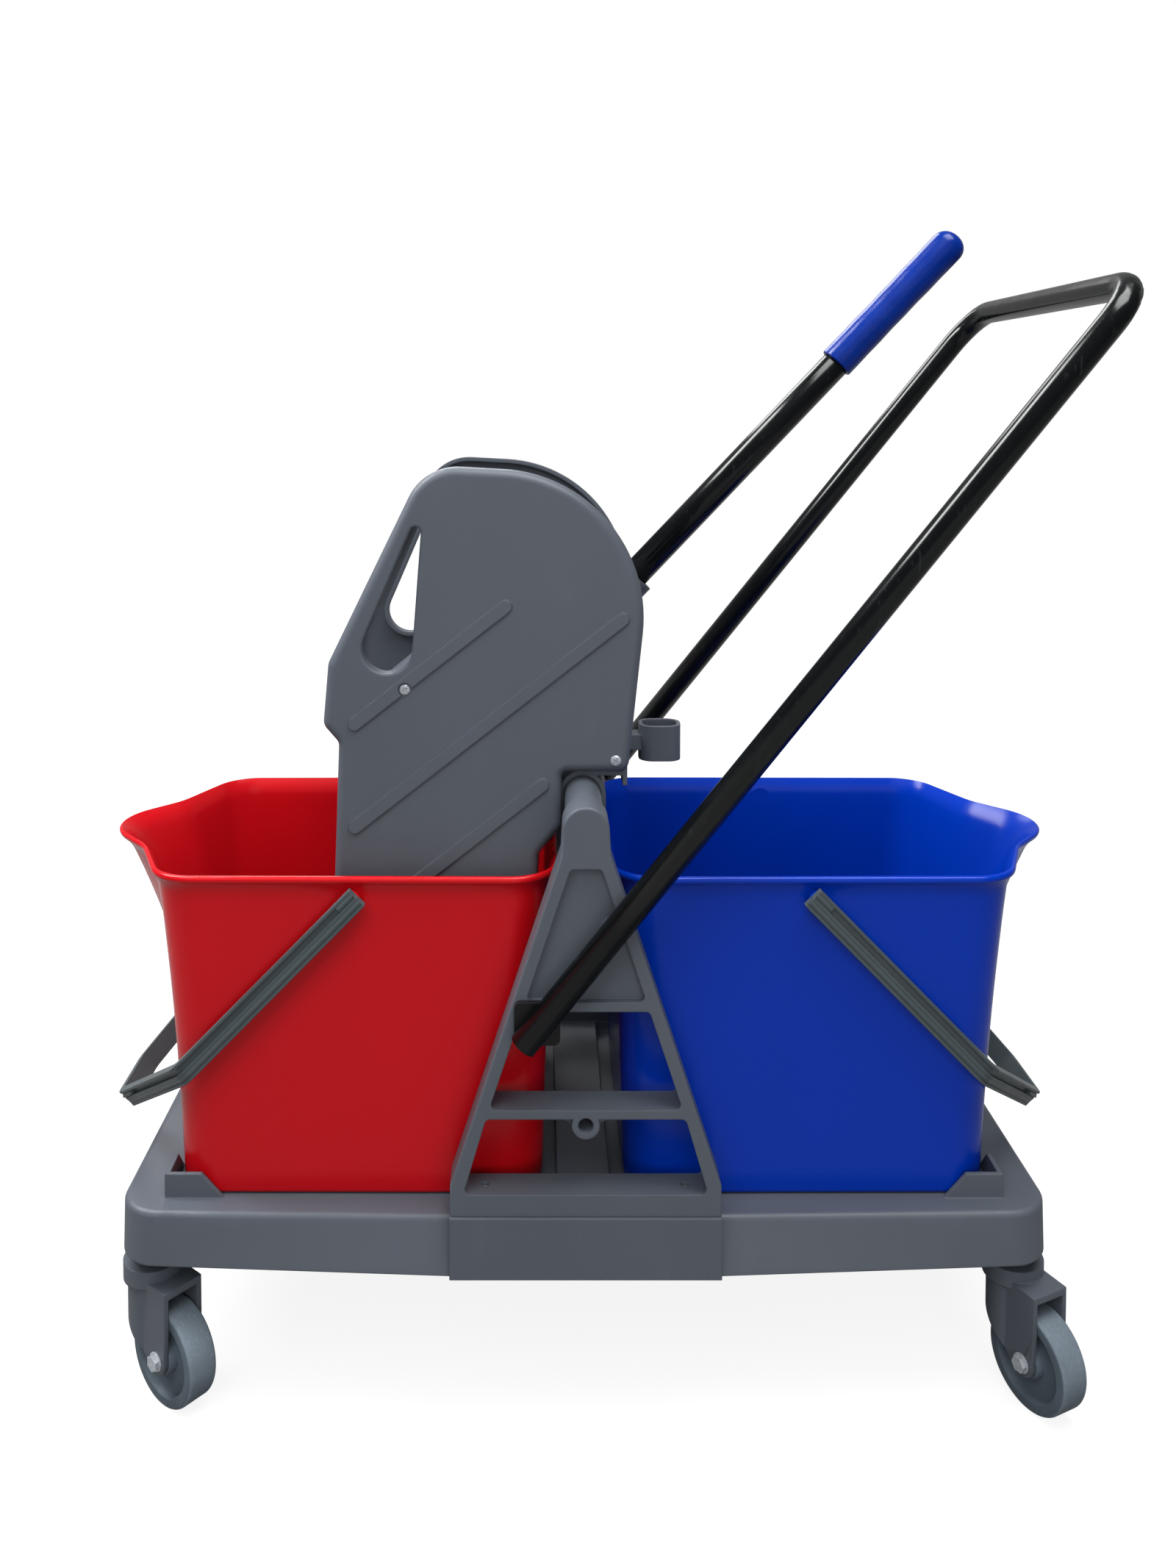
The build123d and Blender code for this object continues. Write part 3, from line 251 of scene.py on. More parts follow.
@dataclass(frozen=True)
class MouldedPlastic(Surface):
    """Injection moulded plastic with flow marks, fine grain and slight scuffs.

    Args:
        gloss: Middle roughness.
        grain: Depth of the fine grain, in metres, or 0 for a polished mould.
        mottle: How far the colour varies.
        bloom: Strength of the pale scuffs and specks.
        sheen: Level of its reflections, where 0.5 is a polished surface.
        rounding: Radius of the shaded edges, in metres, or 0 where the shape has its own.
    """

    gloss: float
    grain: float = 0.00015
    mottle: float = 0.04
    bloom: float = 0.08
    sheen: float = 0.30
    rounding: float = 0.0006

    def material(self) -> Material:
        """Build the material.

        Returns:
            The material.
        """
        draft = ShaderDraft(self.name)
        flow = draft.spread(draft.noise(7, 4, (1.0, 1.0, 0.45)), MIDDLE, FULL)
        speck = draft.spread(draft.noise(420, 2), (0.55, 0.8), (0.0, self.bloom))
        scuff = draft.spread(draft.noise(38, 6, (1.0, 1.0, 0.25)), (0.60, 0.76), (0.0, self.bloom))
        base = draft.mix(flow, self.tint(1 - self.mottle), self.tint(1 + self.mottle))
        worn = draft.mix(scuff, draft.mix(speck, base, self.tint(1.3)), self.tint(1.9))
        rough = draft.spread(draft.noise(24, 5), (0.25, 0.75), (self.gloss * 0.88, self.gloss * 1.12))
        edge = draft.node("Bevel", Radius=self.rounding) if self.rounding else None
        face = draft.bump(draft.noise(9, 1), strength=0.06, depth=0.0010, under=edge)
        if self.grain:
            face = draft.bump(draft.noise(1500, 2), strength=0.3, depth=self.grain, under=face)
        return draft.dress({"IOR": 1.49, "Specular IOR Level": self.sheen}, Base_Color=worn,
                           Roughness=rough, Normal=face.outputs["Normal"])


@dataclass(frozen=True)
class Enamel(Surface):
    """Gloss enamel on steel tube, with slight dents, fine scratches and bare chips.

    Args:
        gloss: Least and most roughness.
        chips: How far above its middle the noise has to rise for a chip.
        scratched: Colour of the scratches.
        chipped: Colour of the bare steel.
    """

    gloss: Point2
    chips: float
    scratched: Colour = srgb(70, 72, 76)
    chipped: Colour = srgb(168, 172, 178)

    def material(self) -> Material:
        """Build the material.

        Returns:
            The material.
        """
        draft = ShaderDraft(self.name)
        chip = draft.spread(draft.noise(95, 5), (0.5 + self.chips, 0.53 + self.chips), FULL)
        scratch = draft.spread(draft.noise(60, 8, (6.0, 6.0, 0.5)), (0.62, 0.72), (0.0, 0.12))
        worn = draft.mix(chip, draft.mix(scratch, self.colour, self.scratched), self.chipped)
        rough = draft.spread(draft.noise(30, 4), MIDDLE, self.gloss)
        dent = draft.bump(draft.noise(34, 2), strength=0.05, depth=0.0006)
        return draft.dress({"IOR": 1.5, "Specular IOR Level": 0.35}, Base_Color=worn,
                           Roughness=rough, Metallic=chip, Normal=dent.outputs["Normal"])


@dataclass(frozen=True)
class PlatedSteel(Surface):
    """Zinc plated or plain drawn steel.

    Args:
        gloss: Middle roughness.
    """

    gloss: float

    def material(self) -> Material:
        """Build the material.

        Returns:
            The material.
        """
        draft = ShaderDraft(self.name)
        cloud = draft.spread(draft.noise(160, 4), MIDDLE, FULL)
        colour = draft.mix(cloud, self.tint(0.82), self.tint(1.08))
        rough = draft.spread(draft.noise(420, 3), MIDDLE, (self.gloss * 0.7, self.gloss * 1.3))
        mark = draft.bump(draft.noise(900, 3), strength=0.2, depth=0.00003)
        return draft.dress({"Metallic": 0.55}, Base_Color=colour, Roughness=rough,
                           Normal=mark.outputs["Normal"])


@dataclass(frozen=True)
class SoftRubber(Surface):
    """Rubber or dipped vinyl, dusty or glossy.

    Args:
        gloss: Middle roughness.
        dust: Strength of the pale dust in its pores.
        ripple: Depth of its slow unevenness, in metres.
        grain: Depth of its pores, in metres, or 0 for a smooth dip.
    """

    gloss: float
    dust: float
    ripple: float = 0.0003
    grain: float = 0.0002

    def material(self) -> Material:
        """Build the material.

        Returns:
            The material.
        """
        draft = ShaderDraft(self.name)
        blotch = draft.spread(draft.noise(28, 5), (0.35, 0.7), FULL)
        base = draft.mix(blotch, self.tint(0.88), self.tint(1.1))
        pore = draft.spread(draft.noise(520, 3), (0.52, 0.75), (0.0, self.dust))
        dusty = draft.mix(pore, base, self.tint(1.7))
        rough = draft.spread(draft.noise(60, 4), MIDDLE, (self.gloss * 0.8, self.gloss * 1.2))
        face = draft.bump(draft.noise(60, 1), strength=0.05, depth=self.ripple)
        if self.grain:
            face = draft.bump(draft.noise(1100, 2), strength=0.25, depth=self.grain, under=face)
        return draft.dress({"IOR": 1.5, "Specular IOR Level": 0.25}, Base_Color=dusty,
                           Roughness=rough, Normal=face.outputs["Normal"])


POLISHED = {"gloss": 0.24, "grain": 0.0, "mottle": 0.025, "bloom": 0.012, "sheen": 0.22, "rounding": 0.0}


class Finish(Enum):
    """The trolley's finishes, one for each kind of surface."""

    GREY = MouldedPlastic("grey_moulding", srgb(73, 78, 86), gloss=0.42, grain=0.00018, rounding=0.0018)
    BAIL = MouldedPlastic("bail_moulding", srgb(62, 70, 73), gloss=0.40)
    RED = MouldedPlastic("red_bucket_moulding", srgb(166, 9, 18), **POLISHED)
    BLUE = MouldedPlastic("blue_bucket_moulding", srgb(0, 42, 147), **POLISHED)
    BLACK = MouldedPlastic("black_saddle_moulding", srgb(14, 14, 16), gloss=0.35, mottle=0.05)
    ENAMEL = Enamel("black_tube_enamel", srgb(9, 11, 12), gloss=(0.16, 0.23), chips=0.26)
    ZINC = PlatedSteel("zinc_plate", srgb(186, 191, 198), gloss=0.32)
    BARE = PlatedSteel("bare_cut_steel", srgb(150, 153, 158), gloss=0.38)
    WIRE = PlatedSteel("spring_wire", srgb(112, 114, 118), gloss=0.34)
    WHEEL = SoftRubber("grey_wheel_rubber", srgb(74, 84, 93), gloss=0.55, dust=0.2)
    # TREAD is the wheel rubber made lighter: a painted highlight for the tread's lit face, plus more pale dust in
    # its pores.
    TREAD = SoftRubber("worn_tread_rubber", srgb(94, 104, 113), gloss=0.62, dust=0.35)
    VINYL = SoftRubber("blue_dipped_vinyl", srgb(0, 33, 112), gloss=0.25, dust=0.01, ripple=0.0004, grain=0.0)

    def material(self) -> Material:
        """The finish's material, made once and then shared."""
        made = bpy.data.materials.get(self.value.name)
        return made or self.value.material()


# Mesh tools

SAME_PLACE = 2e-6
SAME_PLANE = radians(0.4)
MOULDED_EDGE = 40  # Angle of an edge that is rounded, in degrees.


def added(name: str, data: bpy.types.ID) -> Object:
    """Add an object to the scene.

    Args:
        name: The object's name.
        data: Its mesh, curve, lamp or camera.

    Returns:
        The new object.
    """
    made = bpy.data.objects.new(name, data)
    bpy.context.scene.collection.objects.link(made)
    return made


def piece_from_draft(name: str, draft: BMesh, sharp: float, *finishes: Finish) -> Object:
    """Turn a draft into a smooth shaded piece and free it.

    Args:
        name: The piece's name.
        draft: The draft.
        sharp: Angle above which an edge stays sharp, in degrees.
        finishes: The finishes of its material slots.

    Returns:
        The new piece.
    """
    bmesh.ops.recalc_face_normals(draft, faces=draft.faces)
    mesh = bpy.data.meshes.new(name)
    draft.to_mesh(mesh)
    draft.free()
    mesh.shade_smooth()
    mesh.set_sharp_from_angle(angle=radians(sharp))
    for finish in finishes:
        mesh.materials.append(finish.material())
    return added(name, mesh)


def settled(piece: Object) -> Object:
    """Replace a piece's modifiers by the mesh that they give.

    Args:
        piece: The piece, or the curve that it follows.

    Returns:
        The piece as a plain mesh.
    """
    bpy.context.view_layer.update()
    drawn = piece.evaluated_get(bpy.context.evaluated_depsgraph_get())
    mesh = bpy.data.meshes.new_from_object(drawn)
    piece.modifiers.clear()
    if piece.type == "MESH":
        piece.data = mesh
        return piece
    name = piece.name
    piece.name = f"{name}_route"
    made = added(name, mesh)
    bpy.data.objects.remove(piece)
    return made


def flat_region(first: BMFace) -> set[BMFace]:
    """Collect the faces that lie in one plane with a face.

    Args:
        first: The face to start from.

    Returns:
        The faces.
    """
    region, border = {first}, [first]
    while border:
        face = border.pop()
        for edge in face.edges:
            for other in edge.link_faces:
                if other not in region and face.normal.angle(other.normal, pi) < SAME_PLANE:
                    region.add(other)
                    border.append(other)
    return region


def join_flats(draft: BMesh) -> None:
    """Join the triangles of each flat side that has no hole in it.

    Args:
        draft: The draft.
    """
    left = set(draft.faces)
    whole = []
    while left:
        region = flat_region(left.pop())
        left -= region
        edges = {edge for face in region for edge in face.edges}
        corners = {vertex for face in region for vertex in face.verts}
        if len(region) > 1 and len(corners) - len(edges) + len(region) == 1:
            whole.append(list(region))
    for region in whole:
        bmesh.ops.dissolve_faces(draft, faces=region, use_verts=False)


def softened(node: str, finish: Finish, width: float) -> None:
    """Let a copy of a node's solid with its moulded edges rounded stand for the node.

    Args:
        node: The node's name.
        finish: Its finish.
        width: Width of the rounding, in metres, where short edges leave room for it.
    """
    draft = bmesh.new()
    draft.from_mesh(frame["nodes"][node].data)
    bmesh.ops.remove_doubles(draft, verts=draft.verts, dist=SAME_PLACE)
    draft.normal_update()
    join_flats(draft)
    piece = piece_from_draft(f"{node}_moulding", draft, MOULDED_EDGE, finish)
    bevel = piece.modifiers.new("Rounding", "BEVEL")
    bevel.width, bevel.segments = width, 2
    bevel.limit_method, bevel.angle_limit = "ANGLE", radians(MOULDED_EDGE)
    bevel.use_clamp_overlap = True
    bevel.miter_outer = "MITER_ARC"
    weigh = piece.modifiers.new("Flat faces", "WEIGHTED_NORMAL")
    weigh.keep_sharp, weigh.weight = False, 70
    stand_for(settled(piece), node)


def ride_with(piece: Object, node: str) -> None:
    """Let a piece ride on a node's body.

    Args:
        piece: The piece.
        node: The node that it goes with.
    """
    bodies = frame["record"]["behaviour"]["bodies"]
    body = next(name for name, members in bodies.items() if node in members)
    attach(piece, body)
    log.info("%s rides on %s", piece.name, body)


def stand_for(piece: Object, node: str) -> None:
    """Let a piece ride on a node's body and stand for that node."""
    ride_with(piece, node)
    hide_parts(node)


def dress_node(node: str, finish: Finish) -> None:
    """Give a carried-over node its finish.

    Args:
        node: The node's name.
        finish: Its finish.
    """
    mesh = frame["nodes"][node].data
    for index in range(len(mesh.materials)):
        mesh.materials[index] = finish.material()
    log.info("%s keeps its solid", node)


def tilted(degrees: float) -> Vector:
    """A direction along X that rises by an angle."""
    return Vector((cos(radians(degrees)), 0, sin(radians(degrees))))


def arc(steps: int, first: int = 0, start: float = 0.0, turn: float = QUARTER) -> Iterator[float]:
    """Angles of evenly spaced points on an arc, from its first step or a later one to its end."""
    return (start + turn * step / steps for step in range(first, steps + 1))


def skin_rings(draft: BMesh, rings: list[list[BMVert]]) -> None:
    """Join closed rings of equal length, one after the other, and close the first and the last.

    Args:
        draft: The draft that the rings are in.
        rings: The vertices of each ring.
    """
    for low, high in zip(rings, rings[1:]):
        count = len(low)
        for index in range(count):
            after = (index + 1) % count
            draft.faces.new((low[index], low[after], high[after], high[index]))
    for ring in (rings[0], rings[-1]):
        draft.faces.new(ring)


def lathe(draft: BMesh, profile: Sequence[Point2], frame_of: Matrix, facets: int) -> None:
    """Turn a profile round an axis and add it to a draft.

    Args:
        draft: The draft.
        profile: Radius and height of each point, from one end to the other.
        frame_of: Matrix whose Z axis is the axis of turning.
        facets: Facets round the axis.
    """
    angles = [tau * step / facets for step in range(facets)]
    skin_rings(draft, [[draft.verts.new(frame_of @ Vector((radius * cos(angle), radius * sin(angle), height)))
                        for angle in angles] for radius, height in profile])


def axis_frame(place: Vector, axis: Vector) -> Matrix:
    """A matrix at a place whose Z axis points along an axis."""
    turn = axis.to_track_quat("Z", "Y").to_matrix().to_4x4()
    return Matrix.Translation(place) @ turn


def rounded_outline(corners: Sequence[Point3], out: float, steps: int) -> list[Point2]:
    """Draw an anticlockwise outline with rounded corners, full or hollow, moved outwards.

    Args:
        corners: X, Y and radius of each corner.
        out: Distance that every side is moved outwards.
        steps: Steps on each corner's arc.

    Returns:
        The outline's points.
    """
    points = []
    for index, (x, y, radius) in enumerate(corners):
        here = Vector((x, y))
        back = (here - Vector(corners[index - 1][:2])).normalized()
        ahead = (Vector(corners[(index + 1) % len(corners)][:2]) - here).normalized()
        turn = -back.angle_signed(ahead)
        bend = copysign(radius, turn)
        centre = here - back * radius * tan(abs(turn) / 2) + Vector((-back.y, back.x)) * bend
        reach = bend + out
        points += [(centre.x + reach * cos(angle), centre.y + reach * sin(angle))
                   for angle in arc(steps, start=atan2(-back.x, back.y), turn=turn)]
    return points


# Geometry rules

SPIN_MOST, SPIN_RESULT = 3, 1  # A Random Value node's sockets for numbers.


class GeometryRule:
    """A geometry tree with named inputs that ends in real geometry with one finish.

    Args:
        name: The tree's name.
        inputs: Type of each input besides the finish, without its NodeSocket prefix.
        nodes: Label, type, settings and input values of each node.
        links: Label and output, then label and input, of each link. The shape goes to "real".
    """

    def __init__(self, name: str, inputs: dict[str, str], nodes: Sequence[NodePlan],
                 links: Sequence[LinkPlan]) -> None:
        """Build the tree."""
        self.tree = bpy.data.node_groups.new(name, "GeometryNodeTree")
        socket = self.tree.interface.new_socket
        for way in ("INPUT", "OUTPUT"):
            socket("Geometry", in_out=way, socket_type="NodeSocketGeometry")
        self.names = {label: socket(label, in_out="INPUT", socket_type=f"NodeSocket{kind}").identifier
                      for label, kind in (inputs | {"Finish": "Material"}).items()}
        ends = (("start", "NodeGroupInput", {}, {}), ("end", "NodeGroupOutput", {}, {}),
                ("real", "GeometryNodeRealizeInstances", {}, {}), ("paint", "GeometryNodeSetMaterial", {}, {}))
        made = {}
        for label, kind, settings, values in (*ends, *nodes):
            made[label] = self.tree.nodes.new(kind)
            for setting, value in settings.items():
                setattr(made[label], setting, value)
            for entry, value in values.items():
                made[label].inputs[entry].default_value = value
        close = (("real", "Geometry", "paint", "Geometry"), ("start", "Finish", "paint", "Material"),
                 ("paint", "Geometry", "end", "Geometry"))
        for source, output, target, entry in (*links, *close):
            self.tree.links.new(made[source].outputs[output], made[target].inputs[entry])

    def run(self, piece: Object, finish: Finish, values: dict[str, object]) -> Object:
        """Shape a piece by the tree.

        Args:
            piece: The object with the route or the points.
            finish: Its finish.
            values: The tree's other inputs by name.

        Returns:
            The piece as a plain mesh.
        """
        rule = piece.modifiers.new(self.tree.name, "NODES")
        rule.node_group = self.tree
        for label, value in (values | {"Finish": finish.material()}).items():
            rule[self.names[label]] = value
        return settled(piece)


def sweep_rule(name: str, profile: str, sizes: dict[str, tuple[str, str]], solid: bool) -> GeometryRule:
    """Make a rule that bends a route's corners and sweeps a profile along it.

    Args:
        name: The tree's name.
        profile: The profile's node type, without its GeometryNodeCurvePrimitive prefix.
        sizes: Type of each size of the profile and the input that it sets, by name.
        solid: Whether the sweep is a bar with closed ends, or else a smooth skin with open ends.

    Returns:
        The rule.
    """
    inputs = {label: kind for label, (kind, _) in sizes.items()}
    nodes = [("bend", "GeometryNodeFilletCurve", {"mode": "POLY"}, {}),
             ("profile", f"GeometryNodeCurvePrimitive{profile}", {}, {}),
             ("sweep", "GeometryNodeCurveToMesh", {}, {"Fill Caps": solid})]
    links = [("start", label, "profile", entry) for label, (_, entry) in sizes.items()]
    links += [("start", "Geometry", "bend", "Curve"), ("start", "Bend radius", "bend", "Radius"),
              ("start", "Bend steps", "bend", "Count"), ("bend", "Curve", "sweep", "Curve"),
              ("profile", "Curve", "sweep", "Profile Curve")]
    if solid:
        links += [("sweep", "Mesh", "real", "Geometry")]
    else:
        nodes += [("smooth", "GeometryNodeSetShadeSmooth", {}, {})]
        links += [("sweep", "Mesh", "smooth", "Geometry"), ("smooth", "Geometry", "real", "Geometry")]
    return GeometryRule(name, inputs | {"Bend radius": "Float", "Bend steps": "Int"}, nodes, links)


def fastener_rule() -> GeometryRule:
    """Make a rule that sets one fastener at each point, turned to face the way that the point says.

    Returns:
        The rule.
    """
    inputs = {"Head": "Object", "Size": "Float", "Twist": "Float", "Seed": "Int"}
    nodes = (("head", "GeometryNodeObjectInfo", {}, {}),
             ("facing", "GeometryNodeInputNamedAttribute", {"data_type": "FLOAT_VECTOR"}, {"Name": "facing"}),
             ("aim", "FunctionNodeAlignRotationToVector", {"axis": "Z"}, {}),
             ("spin", "FunctionNodeRandomValue", {"data_type": "FLOAT"}, {}),
             ("turn", "FunctionNodeAxisAngleToRotation", {}, {"Axis": (0, 0, 1)}),
             ("both", "FunctionNodeRotateRotation", {"rotation_space": "LOCAL"}, {}),
             ("place", "GeometryNodeInstanceOnPoints", {}, {}))
    links = (("start", "Geometry", "place", "Points"), ("start", "Head", "head", "Object"),
             ("head", "Geometry", "place", "Instance"), ("facing", "Attribute", "aim", "Vector"),
             ("start", "Twist", "spin", SPIN_MOST), ("start", "Seed", "spin", "Seed"),
             ("spin", SPIN_RESULT, "turn", "Angle"), ("aim", "Rotation", "both", "Rotation"),
             ("turn", "Rotation", "both", "Rotate By"), ("both", "Rotation", "place", "Rotation"),
             ("start", "Size", "place", "Scale"), ("place", "Instances", "real", "Geometry"))
    return GeometryRule("FastenerRow", inputs, nodes, links)


def route_object(name: str, route: Sequence[Vector]) -> Object:
    """Make a curve object with straight runs between the points of a route.

    Args:
        name: The object's name.
        route: The points.

    Returns:
        The new object.
    """
    curve = bpy.data.curves.new(name, "CURVE")
    curve.dimensions = "3D"
    spline = curve.splines.new("POLY")
    spline.points.add(len(route) - 1)
    for point, place in zip(spline.points, route):
        point.co = (*place, 1.0)
    return added(name, curve)


# Tubes


@dataclass
class BentTubes:
    """Push handle and press lever, swept along their routes.

    Args:
        facets: Facets round a tube.
        bend_steps: Facets along a bend.
    """

    facets: int = 64
    bend_steps: int = 18
    handle_radius: float = 11.0 * MM
    handle_wall: float = 1.8 * MM
    handle_bend: float = 42.0 * MM
    handle_side: float = 194.0 * MM
    handle_length: float = 757.0 * MM
    handle_tilt: float = 51.4
    handle_foot: Point2 = (-49.7 * MM, 318.0 * MM)
    crease_depth: float = 0.55 * MM
    crease_pitch: float = 7.0 * MM
    crease_reach: float = 1.1
    crease_inside: float = 0.6
    lever_radius: float = 12.7 * MM
    lever_wall: float = 2.0 * MM
    lever_tilt: float = 46.61
    lever_start: float = 24.0 * MM
    lever_end: float = 484.0 * MM
    pivot_height: float = 607.5 * MM
    grip_radius: float = 15.5 * MM
    grip_start: float = 338.0 * MM
    grip_end: float = 495.0 * MM
    grip_round: float = 13.0 * MM
    grip_hem: float = 1.2 * MM
    grip_slip: float = 0.05 * MM
    grip_waist: float = 0.35 * MM
    grip_wave: float = 0.12 * MM
    grip_waves: int = 9
    grip_rows: int = 25
    grip_tip: float = 0.2 * MM
    grip_sharp: float = 60

    def sweep(self, name: str, route: Sequence[Vector], radius: float, bend: float, wall: float) -> Object:
        """Sweep an open-ended steel tube along a route.

        Args:
            name: The piece's name.
            route: The corners of the tube's middle line.
            radius: Outer radius.
            bend: Radius of each bend.
            wall: Thickness of the steel.

        Returns:
            The tube, whose cut ends are bare steel.
        """
        sizes = {"Tube radius": ("Float", "Radius"), "Facets": ("Int", "Resolution")}
        made = sweep_rule("BentTube", "Circle", sizes, solid=False).run(
            route_object(name, route), Finish.ENAMEL,
            {"Tube radius": radius, "Facets": self.facets, "Bend radius": bend, "Bend steps": self.bend_steps})
        made.data.materials.clear()
        for finish in (Finish.ENAMEL, Finish.BARE):
            made.data.materials.append(finish.material())
        shell = made.modifiers.new("Wall", "SOLIDIFY")
        shell.thickness, shell.offset = wall, -1.0
        shell.material_offset_rim = 1
        return settled(made)

    def crease(self, piece: Object, corner: Vector, inward: Vector) -> None:
        """Press small compression creases into the inner side of a bend.

        Args:
            piece: The tube.
            corner: The route's corner.
            inward: Direction from the corner to the bend's centre.
        """
        reach = self.handle_bend * self.crease_reach
        for vertex in piece.data.vertices:
            away = vertex.co - corner
            side = away.dot(inward)
            if away.length < reach and side > self.handle_radius * self.crease_inside:
                along = (away - inward * side).dot(inward.orthogonal())
                fade = 1 - away.length / reach
                wave = cos(tau * (along + away.length) / self.crease_pitch)
                vertex.co -= inward * self.crease_depth * fade * wave

    def handle(self) -> None:
        """Build the push handle."""
        run = tilted(self.handle_tilt)
        near = Vector((self.handle_foot[0], -self.handle_side, self.handle_foot[1]))
        across = Vector((0, self.handle_side * 2, 0))
        top = near + run * self.handle_length
        route = [near, top, top + across, near + across]
        tube = self.sweep("push_handle_tube", route, self.handle_radius, self.handle_bend, self.handle_wall)
        for corner, way in ((top, 1), (top + across, -1)):
            self.crease(tube, corner, (Vector((0, way, 0)) - run).normalized())
        stand_for(tube, "push_handle")

    def lever(self) -> None:
        """Build the lever tube and its dipped grip."""
        run = tilted(self.lever_tilt)
        pivot = Vector((0, 0, self.pivot_height))
        route = [pivot + run * self.lever_start, pivot + run * self.lever_end]
        tube = self.sweep("lever_steel_tube", route, self.lever_radius, 0.0, self.lever_wall)
        stand_for(tube, "lever_tube")
        draft = bmesh.new()
        lathe(draft, self.grip_profile(), axis_frame(pivot, run), self.facets)
        stand_for(piece_from_draft("lever_dipped_grip", draft, self.grip_sharp, Finish.VINYL), "lever_grip")

    def grip_profile(self) -> list[Point2]:
        """Shape the grip from its hem over a slight waist to its rounded tip.

        Returns:
            Radius and distance from the pivot of each point.
        """
        radius, start, hem, tip = self.grip_radius, self.grip_start, self.grip_hem, self.grip_round
        points = [(self.lever_radius + self.grip_slip, start), (radius - hem, start)]
        points += [(radius - hem + hem * sin(angle), start + hem * (1 - cos(angle)))
                   for angle in arc(steps=6, first=1)]
        body = self.grip_end - tip - start - hem
        for step in range(1, self.grip_rows):
            share = step / self.grip_rows
            swell = self.grip_wave * sin(self.grip_waves * pi * share) - self.grip_waist * sin(pi * share) ** 2
            points.append((radius + min(swell, 0), start + hem + body * share))
        points += [(max(radius - tip + tip * cos(angle), self.grip_tip), self.grip_end - tip * (1 - sin(angle)))
                   for angle in arc(steps=10)]
        return points


# Buckets


@dataclass
class Buckets:
    """Red and blue bucket shells with rolled rims, pouring ends and bail bosses.

    Args:
        steps: Steps on each corner of the plan.
        rows: Rings up a wall.
        sharp: Angle above which an edge stays sharp, in degrees.
    """

    steps: int = 16
    rows: int = 16
    sharp: float = 50
    foot_z: float = 166.3 * MM
    height: float = 267.0 * MM
    wall: float = 3.0 * MM
    floor: float = 4.0 * MM
    foot_round: float = 4.0 * MM
    floor_round: float = 7.2 * MM
    inner_x: Point2 = (34.0 * MM, 26.5 * MM)
    outer_x: Point2 = (335.0 * MM, 345.0 * MM)
    inner_y: Point2 = (139.5 * MM, 141.0 * MM)
    outer_y: Point2 = (138.5 * MM, 139.0 * MM)
    bow: Point2 = (12.0 * MM, 88.0 * MM)
    bow_growth: float = 2.5
    throat: Point2 = (0.375, 62.0 * MM)
    radii: tuple[float, float, float, float] = (34.0 * MM, 38.0 * MM, 60.0 * MM, 52.0 * MM)
    lip: float = 5.5 * MM
    lip_edge: float = 3.4 * MM
    lip_tuck: float = 0.8 * MM
    lip_under: float = 5.2 * MM
    flare: float = 20.0 * MM
    flare_start: float = 0.15 * MM
    flare_growth: float = 2.6
    flare_inside: float = 18.0 * MM
    flare_ease: float = 2.2
    flare_clear: float = 24.0 * MM
    boss_x: float = 190.0 * MM
    boss_drop: float = 20.0 * MM
    boss_radius: float = 8.5 * MM
    boss_face: float = 148.2 * MM
    boss_root: float = 137.0 * MM
    boss_soft: float = 1.5 * MM
    boss_collar: tuple[Point2, ...] = ((2.0 * MM, 0.0), (0.5 * MM, 1.6 * MM), (0.0, 3.5 * MM))
    boss_facets: int = 48

    def corners(self, height: float) -> list[Point3]:
        """Find the plan's corners on the blue side.

        Args:
            height: Height above the foot.

        Returns:
            X, Y and radius of each corner.
        """
        def between(pair: Point2, growth: float = 1.0) -> float:
            """A size at that height."""
            return pair[0] + (pair[1] - pair[0]) * (height / self.height) ** growth

        square, outer, hollow, tip = self.radii
        end, bow, (waist, waist_y) = between(self.outer_x), between(self.bow, self.bow_growth), self.throat
        near = [(between(self.inner_x), -between(self.inner_y), square), (end, -between(self.outer_y), outer),
                (end + bow * waist, -waist_y, hollow)]
        return near + [(end + bow, 0.0, tip)] + [(x, -y, radius) for x, y, radius in reversed(near)]

    def section(self) -> list[Point2]:
        """Shape the wall from the foot's edge over the rim to the floor.

        Returns:
            Height above the foot and outward step of each ring.
        """
        top, lip, edge, foot, curve = self.height, self.lip, self.lip_edge, self.foot_round, self.floor_round
        eighths = [step / 8 for step in range(1, 8)]
        rings = [(foot * (1 - sin(QUARTER - angle)), -foot * (1 - sin(angle))) for angle in arc(steps=6)]
        side = top - self.flare - foot
        rings += [(foot + side * step / self.rows, 0.0) for step in range(1, self.rows)]
        rings += [(top - self.flare, self.flare_start)]
        rings += [(top - self.flare + (self.flare - self.lip_under) * share,
                   self.flare_start + (lip - self.lip_tuck) * share**self.flare_growth) for share in eighths]
        rings += [(top - edge + edge * sin(angle), lip - edge + edge * cos(angle))
                  for angle in arc(steps=10, start=-pi / 3, turn=pi * 5 / 6)]
        rings += [(top - self.flare_inside * share,
                   (lip - edge) - (lip - edge + self.wall) * (1 - (1 - share) ** self.flare_ease))
                  for share in eighths]
        low = self.floor + curve
        depth = top - self.flare_clear - low
        rings += [(low + depth * (1 - step / self.rows), -self.wall) for step in range(self.rows + 1)]
        rings += [(self.floor + curve * (1 - sin(angle)), -self.wall - curve * (1 - cos(angle)))
                  for angle in arc(steps=6, first=1)]
        return rings

    def build(self, node: str, side: int, finish: Finish) -> None:
        """Build one bucket.

        Args:
            node: The node that it stands for.
            side: -1 for the red side, 1 for the blue side.
            finish: Its finish.
        """
        draft = bmesh.new()
        rings = []
        for height, out in self.section():
            outline = rounded_outline(self.corners(height), out, self.steps)
            rings.append([draft.verts.new((side * x, y, self.foot_z + height)) for x, y in outline])
        skin_rings(draft, rings)
        for way in (-1, 1):
            self.boss(draft, side, way)
        stand_for(piece_from_draft(f"{node}_shell", draft, self.sharp, finish), node)

